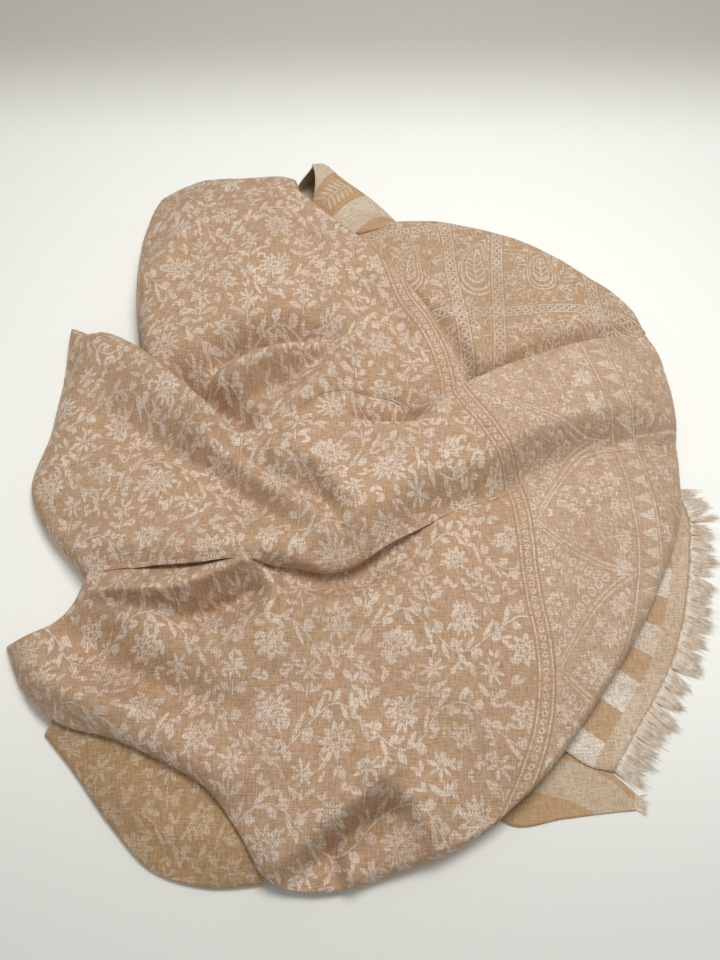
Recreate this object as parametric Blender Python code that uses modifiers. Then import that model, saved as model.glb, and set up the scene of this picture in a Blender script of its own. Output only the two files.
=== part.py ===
"""Pashmina shawl, dropped on a flat surface in a loose heap.

The shawl is one uncut length of cloth. Each stretch of it that shows is a thin shell, laid over the ones below
it, and the folded layers underneath share one rounded solid. All sizes are in millimetres until mesh_object
turns them into metres. +X is to the right of the heap, +Y to its back and +Z up, with the surface at z = 0.
"""
from collections import namedtuple

import bpy
import numpy as np

# Driving dimensions, mm
WALL = 2.0              # thickness of a stretch of cloth, with its nap and the air that it holds
REST_GAP = 1.8          # space between an edge and the curved cloth that it lies on
CLOSE_GAP = 0.7         # the same where both are nearly flat
TUCK_LINE = 8.0         # width of the first row of faces inside an edge with no shoulder
FLOOR_GAP = 1.0         # space between a cloth edge and the surface
HEAP_MIDDLE = (8.2, 32.0)   # middle of the heap's box, which becomes the origin
SHOULDER_TURNS = (0.0, 18.0, 38.0, 62.0, 90.0)  # degrees round an edge's shoulder, from its rim to its top
MM = 0.001

# Rounded rises that the stretches are draped over: middle, half width, half depth and height
Mound = namedtuple("Mound", "x y half_width half_depth height")
MOUNDS = {
    "heap": Mound(0, -20, 335, 330, 50),
    "dome": Mound(-77, 237, 215, 222, 66),
    "back": Mound(116, 165, 222, 222, 28),
    "lower_left": Mound(-90, -190, 190, 160, 22),
    "core": Mound(0, -20, 300, 295, 32),
    "core_dome": Mound(-90, 225, 150, 165, 46),
}

# Soft folds: a line through three points, its height at each of them (a trough's is negative), and the width of
# its slope on the left and on the right of the line
Fold = namedtuple("Fold", "x1 y1 x2 y2 x3 y3 start middle end left right")
FOLDS = {
    "roll": Fold(20, 14, 150, 72, 300, 142, 26, 34, 38, 60, 50),
    "wing_ridge": Fold(-296, 182, -200, 112, -125, 45, 22, 18, 8, 26, 40),
    "wing_trough": Fold(-190, 20, -120, -38, -50, -56, -12, -20, -12, 26, 20),
    "wing_side": Fold(-270, 150, -280, 60, -285, -10, 6, 5, 4, 20, 24),
    "lip": Fold(-215, -82, -110, -80, 25, -58, 14, 17, 10, 30, 20),
    "under_lip": Fold(-240, -74, -100, -86, 50, -50, -8, -13, -4, 44, 30),
    "behind_lip": Fold(60, -46, 170, 6, 300, 50, -4, -9, -8, 44, 30),
    "left_trough": Fold(-235, -150, -180, -190, -120, -215, -6, -8, -4, 34, 24),
    "left_ridge": Fold(-290, -160, -215, -212, -112, -262, 8, 11, 12, 26, 18),
    "hood": Fold(-66, -316, 4, -262, 62, -284, 4, 24, 8, 50, 19),
    "hood_front": Fold(-46, -320, 10, -300, 66, -304, -3, -7, -4, 17, 18),
    "front_ridge": Fold(-60, -140, 10, -118, 90, -110, 4, 5, 2, 30, 40),
    "dome_shoulder": Fold(-215, 215, -170, 340, -60, 335, 8, 7, 6, 22, 30),
    "dome_trough": Fold(-185, 110, -120, 165, -50, 180, -14, -12, -10, 28, 28),
    "dome_fold": Fold(-175, 105, -110, 125, -30, 145, 8, 12, 12, 24, 20),
    "notch": Fold(-150, 72, -105, 58, -20, 82, -9, -13, -12, 30, 30),
    "bridge": Fold(-62, 60, -60, 10, -36, -30, 6, 7, 3, 22, 30),
    "pocket": Fold(-8, 62, 20, 58, 50, 56, -12, -10, -4, 18, 18),
    "dome_edge": Fold(-20, 262, 45, 200, 90, 130, 6, 6, 4, 30, 20),
    "back_rise": Fold(60, 130, 120, 98, 250, 140, 8, 9, 1, 46, 36),
    "corner_roll": Fold(-46, 368, -5, 352, 40, 338, 42, 26, 8, 16, 22),
    "end_wave": Fold(205, -200, 262, -120, 285, -30, 0.6, 0.5, 0.4, 14, 14),
}

# A side is a row of edge points, what it lies on and its gap to that. An edge point is its place, the width of
# the rounded shoulder there, and how far the edge comes down, from 0 for level to 1 for down.
Edge = namedtuple("Edge", "x y shoulder down")
Side = namedtuple("Side", "edges lies_on gap")

# A stretch: the mounds and folds that shape it, its level, its four sides and its grid. The front and back sides
# run from left to right, the left and right sides from front to back. Its grid has that many lines between the
# shoulders of its sides, and crowd over 1 draws the rows towards the front.
Stretch = namedtuple("Stretch", "mounds folds level front back left right columns rows crowd")


def plain(*places):
    """Side that goes on under another stretch, with no shoulder."""
    return Side([Edge(x, y, TUCK_LINE, 0) for x, y in places], (), REST_GAP)


def folded(shoulder, lies_on, *places, gap=REST_GAP):
    """Side that is a fold, rounded down to the stretches that it lies on, or to the surface."""
    return Side([Edge(x, y, shoulder, 1) for x, y in places], lies_on, gap)


STRETCHES = {
    "fringed_end": Stretch(
        mounds=(), folds=("end_wave",), level=2.6,
        front=plain((163, -232), (186, -247), (205, -251)),
        back=plain((276, 2), (292, 4), (303, 4)),
        left=plain((176, -215), (216, -158), (252, -88), (270, -36)),
        right=plain((232, -214), (262, -173), (291, -107), (303, -62), (309, -26)),
        columns=2, rows=13, crowd=1),
    "end_corner": Stretch(
        mounds=(), folds=(), level=2.7,
        front=plain((92, -274), (118, -290), (160, -285), (205, -280), (217, -279)),
        back=plain((147, -243), (176, -255), (203, -265), (219, -271)),
        left=plain((112, -262)), right=plain((219, -275)),
        columns=7, rows=2, crowd=1),
    "lower_left_layer": Stretch(
        mounds=("lower_left",), folds=(), level=0,
        front=folded(9, (), (-258, -222), (-231, -249), (-192, -292), (-159, -321), (-114, -333), (-72, -331)),
        back=plain((-238, -192), (-196, -206), (-150, -222), (-98, -258), (-52, -306)),
        left=folded(5, (), (-250, -205)), right=plain((-60, -320)),
        columns=11, rows=3, crowd=1),
    "top_right_panel": Stretch(
        mounds=("back",), folds=("back_rise",), level=5,
        front=plain((76, 66), (110, 66), (160, 88), (216, 114), (256, 134), (276, 151)),
        back=folded(11, (), (-36, 336), (4, 343), (40, 346), (76, 346), (128, 332), (184, 309), (243, 264), (283, 226),
                    (304, 190)),
        left=plain((48, 130), (8, 220), (-30, 285)), right=folded(7, (), (291, 170)),
        columns=12, rows=6, crowd=1),
    "back_corner": Stretch(
        mounds=(), folds=("corner_roll",), level=20,
        front=folded(8, ("top_right_panel",), (-46, 326), (-26, 322), (-4, 322), (24, 331), gap=CLOSE_GAP),
        back=folded(8, (), (-48, 393), (-34, 389), (-11, 375), (20, 361), (46, 353)),
        left=plain((-45, 346), (-47, 370)), right=folded(5, ("top_right_panel",), (36, 339)),
        columns=7, rows=3, crowd=1),
    "dome_stretch": Stretch(
        mounds=("heap", "dome"), folds=("dome_shoulder", "dome_trough", "dome_fold", "notch", "dome_edge"), level=0,
        front=plain((-224, 142), (-172, 90), (-128, 32), (-80, 26), (-20, 34), (50, 40), (90, 60)),
        back=folded(22, (), (-236, 370), (-210, 394), (-181, 400), (-130, 389), (-88, 393), (-70, 384)),
        left=folded(22, (), (-238, 211), (-244, 296)),
        right=folded(13, ("top_right_panel",), (111, 103), (98, 138), (73, 187), (29, 244), (-11, 290), (-58, 338)),
        columns=13, rows=14, crowd=1.35),
    "front_panel": Stretch(
        mounds=("heap",),
        folds=("under_lip", "behind_lip", "left_trough", "left_ridge", "hood", "hood_front", "front_ridge"), level=0,
        front=folded(12, ("lower_left_layer",), (-304, -150), (-282, -187), (-244, -215), (-195, -229), (-156, -245),
                     (-119, -265), (-91, -297), (-69, -328), (-22, -336), (28, -324), (79, -305), (106, -288)),
        back=plain((-237, -85), (-180, -72), (-80, -72), (20, -58), (100, -14), (200, 36), (284, 62)),
        left=folded(9, (), (-282, -139), (-252, -116)),
        right=folded(16, ("fringed_end",), (143, -258), (196, -197), (251, -121), (280, -68), (298, -26), (304, 20),
                     gap=CLOSE_GAP),
        columns=21, rows=17, crowd=1.15),
    "rolled_fold": Stretch(
        mounds=("heap",), folds=("roll", "wing_ridge", "wing_trough", "wing_side", "lip", "bridge", "pocket"), level=0,
        front=folded(13, ("front_panel",), (-242, -92), (-211, -102), (-149, -98), (-89, -96), (-19, -98), (31, -68),
                     (81, -38), (128, -22), (181, 11), (234, 34), (308, 50)),
        back=folded(14, ("top_right_panel", "dome_stretch"), (-306, 190), (-256, 166), (-205, 129), (-160, 87),
                    (-130, 56), (-112, 32), (-60, 38), (0, 44), (45, 56), (86, 76), (127, 94), (182, 122), (249, 150),
                    (302, 172)),
        left=folded(12, (), (-296, -32), (-310, -4), (-304, 58), (-304, 127)),
        right=folded(12, (), (311, 78), (310, 110), (310, 145)),
        columns=22, rows=9, crowd=1),
}

# The hidden layers: the outline of their upper edge, and how far they keep below the cloth over them
CORE_OUTLINE = ((250, 20), (236, -70), (165, -160), (70, -245), (-40, -258), (-145, -190), (-200, -95), (-240, 10),
                (-215, 84), (-190, 170), (-195, 260), (-165, 335), (-100, 340), (-30, 250), (50, 130), (190, 92))
CORE_CLEARANCE = 10.5   # from the upper face of a stretch down to the hidden layers
# What lies over the hidden layers, and where: from left to right and from front to back
Cover = namedtuple("Cover", "stretch left right front back")
CORE_COVERS = (
    Cover("front_panel", -400, 400, -400, 80),
    Cover("rolled_fold", -400, 400, -130, 100),
    Cover("dome_stretch", -400, 125, 5, 420),
    Cover("top_right_panel", 20, 400, 40, 420),
)
CORE_LAYERS = 3
LAYER_HEIGHT = 5.5
LAYER_STEP = 6.0        # how far each layer below steps out
LAYER_GROOVE = 3.0      # depth of the groove between two layers
# A layer's edge from its foot up: share of the layer's height, and how far in the edge is there
LAYER_PROFILE = ((0.0, LAYER_GROOVE), (0.3, 0.6), (0.65, 0.5))
CORE_RINGS = 9
CORE_SPOKES = 48

# The fringe: strands of the cloth's own warp, in tufts that lean together
FRINGE_GAP = 0.3        # space between the cloth's edge and the strip
STRIP_WIDTH = 1.6
STRIP_THICKNESS = 1.3
STRIP_HEIGHT = 1.4      # height of the middle of the strip
STRAND_TIP = 0.45       # width of a strand's end as a share of its root
STRAND_RINGS = 2
STRAND_RIPPLE = 0.25    # how far a strand waves up and down
STRANDS_PER_TUFT = 7
TUFT_UNEVENNESS = 0.22  # how much tufts differ in length, as a share of it
STRAND_UNEVENNESS = 0.10    # the same for the strands of a tuft
LEAN_UNEVENNESS = 0.4   # how much tufts differ in how far they draw together
STRAY_LEAN = 0.12       # how far a strand leans away from its tuft

# Colours are linear; the ground of the cloth and its paler end
CLOTH_COLOUR = (0.58, 0.37, 0.20, 1.0)
FRINGE_COLOUR = (0.68, 0.55, 0.38, 1.0)
CORE_COLOUR = (0.50, 0.32, 0.17, 1.0)


def smooth_run(rows, at):
    """Cubic curve through the rows, read at fractions of its length. Each column runs smoothly."""
    rows = np.asarray(rows, float)
    steps = np.hypot(*np.diff(rows[:, :2], axis=0).T)
    place = np.concatenate([[0.0], np.cumsum(steps)]) / steps.sum()
    slope = np.gradient(rows, place, axis=0)
    i = np.clip(np.searchsorted(place, at, side="right") - 1, 0, len(place) - 2)
    span = (place[i + 1] - place[i])[..., None]
    s = (np.asarray(at)[..., None] - place[i][..., None]) / span
    start = (1 + 2 * s) * (1 - s) ** 2 * rows[i] + s * (1 - s) ** 2 * span * slope[i]
    end = s ** 2 * (3 - 2 * s) * rows[i + 1] + s ** 2 * (s - 1) * span * slope[i + 1]
    return start + end


def rise(names, x, y):
    """Height of the named mounds together, rounded where they meet."""
    total = np.zeros_like(x)
    for name in names:
        m = MOUNDS[name]
        reach = ((x - m.x) / m.half_width) ** 2 + ((y - m.y) / m.half_depth) ** 2
        total += (m.height * np.sqrt(np.clip(1 - reach, 0, None))) ** 4
    return total ** 0.25


def fold_height(fold, x, y):
    """Height that a fold adds: a bell across its line, evening out between the heights at its two ends."""
    line = smooth_run(np.reshape(fold[:6], (3, 2)), np.linspace(0, 1, 13))
    nearest = np.full(x.shape, np.inf)
    bell = np.zeros_like(x)
    for k, (a, b) in enumerate(zip(line[:-1], line[1:])):
        run = b - a
        along = np.clip(((x - a[0]) * run[0] + (y - a[1]) * run[1]) / (run @ run), 0, 1)
        dx = x - a[0] - along * run[0]
        dy = y - a[1] - along * run[1]
        away = np.hypot(dx, dy)
        width = np.where(run[0] * dy - run[1] * dx > 0, fold.left, fold.right)
        share = (k + along) / (len(line) - 1)
        late = np.where(share < 0.5, fold.start, fold.end)
        height = fold.middle + (late - fold.middle) * (2 * share - 1) ** 2
        here = height * np.exp(-(away / width) ** 2)
        bell = np.where(away < nearest, here, bell)
        nearest = np.minimum(nearest, away)
    return bell


def top_of(name, x, y):
    """Height of a stretch's upper face inside its edges."""
    stretch = STRETCHES[name]
    height = rise(stretch.mounds, x, y) + stretch.level
    for fold in stretch.folds:
        height = height + fold_height(FOLDS[fold], x, y)
    return height


def shoulder_steps(near, far, lines, crowd=1.0):
    """Fractions from the near side to the far one: close together round a shoulder, with even lines between."""
    length = np.hypot(*(near - far)[:, :2].T)[:, None]
    turns = [1 - np.cos(np.radians(SHOULDER_TURNS if side[:, 3].any() else (0,))) for side in (near, far)]
    first = near[:, 2:3] * turns[0] / length
    last = 1 - far[:, 2:3] * turns[1][::-1] / length
    share = (np.arange(1, lines + 1) / (lines + 1)) ** crowd
    middle = first[:, -1:] + (last[:, :1] - first[:, -1:]) * share
    return np.concatenate([first, middle, last], axis=1)


def cornered(first, edges, last):
    """A left or right side with the two corners that it shares, which take its own shoulder."""
    return [edges[0]._replace(x=first.x, y=first.y), *edges, edges[-1]._replace(x=last.x, y=last.y)]


def patch(stretch):
    """Grid of places between the four sides, with the distance to each side."""
    front, back = stretch.front.edges, stretch.back.edges
    corners = (front[0], front[-1], back[0], back[-1])
    left = cornered(corners[0], stretch.left.edges, corners[2])
    right = cornered(corners[1], stretch.right.edges, corners[3])
    ends = np.array([0.0, 1.0])
    columns = shoulder_steps(smooth_run(left, ends), smooth_run(right, ends), stretch.columns).mean(axis=0)
    rows = shoulder_steps(smooth_run(front, ends), smooth_run(back, ends), stretch.rows, stretch.crowd).mean(axis=0)
    v = shoulder_steps(smooth_run(front, columns), smooth_run(back, columns), stretch.rows, stretch.crowd)
    u = shoulder_steps(smooth_run(left, rows), smooth_run(right, rows), stretch.columns).T
    f = smooth_run(front, u)
    b = smooth_run(back, u)
    l = smooth_run(left, v)
    r = smooth_run(right, v)
    c = [np.array(corner[:2], float) for corner in corners]
    uu, vv = u[..., None], v[..., None]
    place = (1 - vv) * f[..., :2] + vv * b[..., :2] + (1 - uu) * l[..., :2] + uu * r[..., :2]
    place -= (1 - uu) * ((1 - vv) * c[0] + vv * c[2]) + uu * ((1 - vv) * c[1] + vv * c[3])
    depth = np.hypot(*np.moveaxis(f[..., :2] - b[..., :2], -1, 0))
    breadth = np.hypot(*np.moveaxis(l[..., :2] - r[..., :2], -1, 0))
    reach = {"front": (f, v * depth), "back": (b, (1 - v) * depth),
             "left": (l, u * breadth), "right": (r, (1 - u) * breadth)}
    return place[..., 0], place[..., 1], reach


def surface(name):
    """Upper face of a stretch: its rise and folds, rounded down at each folded side in a quarter ellipse."""
    stretch = STRETCHES[name]
    x, y, reach = patch(stretch)
    top = top_of(name, x, y)
    drop = np.zeros_like(x)
    for side, (edge, away) in reach.items():
        rest = np.full(x.shape, FLOOR_GAP)
        for below in getattr(stretch, side).lies_on:
            rest = np.maximum(rest, top_of(below, x, y) + getattr(stretch, side).gap)
        share = np.clip(1 - away / edge[..., 2], 0, 1)
        bend = 1 - np.sqrt(1 - share ** 2)
        down = np.clip(edge[..., 3], 0, 1)
        drop = np.maximum(drop, down * bend * (top - rest))
    return np.stack([x, y, top - drop], axis=-1)


def material(name, colour, roughness):
    """Plain woven cloth."""
    made = bpy.data.materials.new(name)
    made.use_nodes = True
    shader = made.node_tree.nodes["Principled BSDF"]
    shader.inputs["Base Color"].default_value = colour
    shader.inputs["Roughness"].default_value = roughness
    shader.inputs["Metallic"].default_value = 0.0
    return made


def mesh_object(name, points, faces, colour, roughness=0.85):
    """Named object from points in mm and faces, with its own material, in the shawl's collection."""
    shifted = np.asarray(points, float) - (*HEAP_MIDDLE, 0)
    mesh = bpy.data.meshes.new(name)
    mesh.from_pydata((shifted * MM).tolist(), [], faces)
    mesh.materials.append(material(name, colour, roughness))
    mesh.shade_smooth()
    made = bpy.data.objects.new(name, mesh)
    bpy.data.collections["pashmina_shawl"].objects.link(made)
    return made


def grid_faces(columns, rows):
    """Quads of a grid of points that is stored a column at a time."""
    return [(i * rows + j, (i + 1) * rows + j, (i + 1) * rows + j + 1, i * rows + j + 1)
            for i in range(columns - 1) for j in range(rows - 1)]


def add_stretch(name):
    """One stretch of cloth, as an open surface with its thickness below it."""
    points = surface(name)
    columns, rows = points.shape[:2]
    made = mesh_object(name, points.reshape(-1, 3), grid_faces(columns, rows), CLOTH_COLOUR)
    thickness = made.modifiers.new("Thickness", "SOLIDIFY")
    thickness.thickness = WALL * MM
    thickness.offset = -1
    return made


def core_top(x, y):
    """Top of the hidden layers: their own rounded rise, held down where the cloth above dips."""
    top = CORE_LAYERS * LAYER_HEIGHT + rise(("core", "core_dome"), x, y)
    for cover in CORE_COVERS:
        covered = (x > cover.left) & (x < cover.right) & (y > cover.front) & (y < cover.back)
        top = np.where(covered, np.minimum(top, top_of(cover.stretch, x, y) - CORE_CLEARANCE), top)
    return top


def add_hidden_layers():
    """Folded layers under the rest: rounded on top, flat below, with a groove between two layers at the edge."""
    closed = [*CORE_OUTLINE[-2:], *CORE_OUTLINE, *CORE_OUTLINE[:3]]
    lengths = np.hypot(*np.diff(np.array(closed, float), axis=0).T)
    start = lengths[:2].sum() / lengths.sum()
    end = lengths[:2 + len(CORE_OUTLINE)].sum() / lengths.sum()
    edge = smooth_run(closed, np.linspace(start, end, CORE_SPOKES, endpoint=False))
    middle = edge.mean(axis=0)
    outward = (edge - middle) / np.linalg.norm(edge - middle, axis=1)[:, None]
    rings = []
    for layer in range(CORE_LAYERS):
        out = (CORE_LAYERS - 1 - layer) * LAYER_STEP
        base = layer * LAYER_HEIGHT
        for share, inset in LAYER_PROFILE:
            ring = edge + outward * (out - inset)
            rings.append(np.column_stack([ring, np.full(CORE_SPOKES, base + share * LAYER_HEIGHT)]))
    for k in range(CORE_RINGS):
        ring = middle + (edge - outward * LAYER_GROOVE - middle) * (1 - k / CORE_RINGS)
        rings.append(np.column_stack([ring, core_top(ring[:, 0], ring[:, 1])]))
    peak = core_top(middle[:1], middle[1:])[0]
    points = np.concatenate(rings + [[(*middle, 0.0)], [(*middle, peak)]])
    faces = []
    for k in range(len(rings) - 1):
        for i in range(CORE_SPOKES):
            j = (i + 1) % CORE_SPOKES
            a = k * CORE_SPOKES
            b = a + CORE_SPOKES
            faces.append((a + j, a + i, b + i, b + j))
    last = (len(rings) - 1) * CORE_SPOKES
    for i in range(CORE_SPOKES):
        j = (i + 1) % CORE_SPOKES
        faces.append((len(points) - 2, i, j))
        faces.append((len(points) - 1, last + j, last + i))
    return mesh_object("hidden_layers", points, faces, CORE_COLOUR)


def uneven(order, pace):
    """Number from -1 to 1 that changes irregularly with the order."""
    return np.sin(pace * (order + 1))


def add_fringe(name, edge, count, length, spread):
    """Comb of strands on a narrow strip just outside a cloth edge: every second face of the strip's outer side is
    drawn out into a tapering strand. The strands of a tuft lean towards its middle."""
    posts = 2 * count + 1
    run = smooth_run(edge, np.linspace(0, 1, posts))[:, :2]
    along = np.gradient(run, axis=0)
    along /= np.linalg.norm(along, axis=1)[:, None]
    out = np.column_stack([along[:, 1], -along[:, 0]])
    inner = run + out * FRINGE_GAP
    outer = run + out * (FRINGE_GAP + STRIP_WIDTH)
    low = np.full((posts, 1), STRIP_HEIGHT - STRIP_THICKNESS / 2)
    high = low + STRIP_THICKNESS
    points = [np.hstack([inner, low]), np.hstack([inner, high]), np.hstack([outer, high]), np.hstack([outer, low])]
    points = list(np.concatenate(points))
    faces = []
    for i in range(posts - 1):
        a, b, c, d = (i + k * posts for k in range(4))
        faces += [(a, b, b + 1, a + 1), (b, c, c + 1, b + 1), (d, a, a + 1, d + 1)]
        if i % 2:
            continue
        order = i // 2
        tuft = order // STRANDS_PER_TUFT
        place = (order % STRANDS_PER_TUFT) / (STRANDS_PER_TUFT - 1) - 0.5
        reach = length * (1 + TUFT_UNEVENNESS * uneven(tuft, 2.3) + STRAND_UNEVENNESS * uneven(order, 3.1))
        lean = STRAY_LEAN * uneven(order, 5.0) - place * spread * (1 + LEAN_UNEVENNESS * uneven(tuft, 1.7))
        heading = out[i] + lean * along[i]
        root = np.array([points[c], points[c + 1], points[d + 1], points[d]])
        centre = root.mean(axis=0)
        loop = [c, c + 1, d + 1, d]
        for ring in range(1, STRAND_RINGS + 1):
            share = ring / STRAND_RINGS
            size = 1 - (1 - STRAND_TIP) * share
            shift = np.array([*(heading * reach * share), STRAND_RIPPLE * uneven(order + share, 3.1)])
            first = len(points)
            points += list(centre + shift + (root - centre) * size)
            faces += [(loop[k], first + k, first + (k + 1) % 4, loop[(k + 1) % 4]) for k in range(4)]
            loop = [first + k for k in range(4)]
        faces.append(tuple(loop[::-1]))
    for i in range(1, posts - 1, 2):
        c, d = i + 2 * posts, i + 3 * posts
        faces.append((c, d, d + 1, c + 1))
    faces.append((0, 3 * posts, 2 * posts, posts))
    last = posts - 1
    faces.append((last, posts + last, 2 * posts + last, 3 * posts + last))
    return mesh_object(name, points, faces, FRINGE_COLOUR)


def main():
    for old in list(bpy.data.objects):
        bpy.data.objects.remove(old, do_unlink=True)
    shawl = bpy.data.collections.new("pashmina_shawl")
    bpy.context.scene.collection.children.link(shawl)
    add_hidden_layers()
    for name in STRETCHES:
        add_stretch(name)
    end = STRETCHES["fringed_end"]
    hem = cornered(end.front.edges[-1], end.right.edges, end.back.edges[-1])
    add_fringe("end_fringe", hem, count=84, length=15.0, spread=0.5)
    corner = STRETCHES["end_corner"]
    tip = cornered(corner.front.edges[-1], corner.right.edges, corner.back.edges[-1])
    add_fringe("corner_fringe", tip, count=5, length=7.0, spread=0.9)


main()
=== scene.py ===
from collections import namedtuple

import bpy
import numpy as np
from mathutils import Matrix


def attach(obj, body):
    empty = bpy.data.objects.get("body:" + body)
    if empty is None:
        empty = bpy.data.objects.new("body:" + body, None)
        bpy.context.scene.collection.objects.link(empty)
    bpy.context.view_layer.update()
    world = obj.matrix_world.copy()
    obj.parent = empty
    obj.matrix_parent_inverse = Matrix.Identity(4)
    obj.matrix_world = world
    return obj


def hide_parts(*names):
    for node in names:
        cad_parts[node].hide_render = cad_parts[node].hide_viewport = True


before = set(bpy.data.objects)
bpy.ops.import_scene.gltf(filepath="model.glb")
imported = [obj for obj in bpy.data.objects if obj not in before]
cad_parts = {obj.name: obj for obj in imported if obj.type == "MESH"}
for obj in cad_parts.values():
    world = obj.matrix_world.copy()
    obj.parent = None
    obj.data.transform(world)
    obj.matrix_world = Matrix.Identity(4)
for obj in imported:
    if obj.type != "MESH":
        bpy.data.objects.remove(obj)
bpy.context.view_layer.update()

# A pashmina shawl dropped in a loose heap. Each stretch of cloth that shows is a thin shell on the form of its
# solid, with its folds, creases and rolled edges. Tables and surfaces are in millimetres on the heap, as in the
# solids, until finished_piece turns them into metres.

MM = 0.001
HEAP_MIDDLE = (8.2, 32.0)   # middle of the heap's box, which is the origin of the frame
CLOTH = 0.9                 # thickness of the shells, mm
FLOOR_REST = 0.4            # lowest place of the cloth's underside above the floor
LAYER_REST = 0.8            # space between an edge's underside and the cloth that it lies on
MELT_WIDTH = 34.0           # width over which an edge runs out into the stretch below it
MELT_DIP = 0.5              # how far such an edge ends below that stretch's face
SUNK_EDGE = 3.0             # how far an edge that goes on under another stretch sinks
SUNK_WIDTH = 9.0            # width over which it sinks
LEAST_ROLL = 0.02           # share of its roll that an edge keeps where it melts or goes on
STEP = 3.0                  # spacing of a shell's grid
LEAST_RUN = 30.0            # shortest depth that a shell's grid is counted for
FOLD_PLACES = 13            # places on a fold's smoothed line
LINE_PLACES = 24            # places on a woven border's smoothed line
HEM_PLACES = 40             # places on the smoothed hem of the fringed end
CREST_ROUNDING = 0.03       # rounding of a fold's very crest, for each whole step of crest below 2

# ---------------------------------------------------------------- the forms

# Rounded rises that the stretches are draped over: middle, half width, half depth and height
Mound = namedtuple("Mound", "x y half_width half_depth height")
MOUNDS = {
    "heap": Mound(0, -20, 335, 330, 50),
    "dome": Mound(-77, 237, 215, 222, 66),
    "back": Mound(116, 165, 222, 222, 28),
    "lower_left": Mound(-90, -190, 190, 160, 22),
    "core": Mound(0, -20, 300, 295, 32),
    "core_dome": Mound(-90, 225, 150, 165, 46),
}

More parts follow.
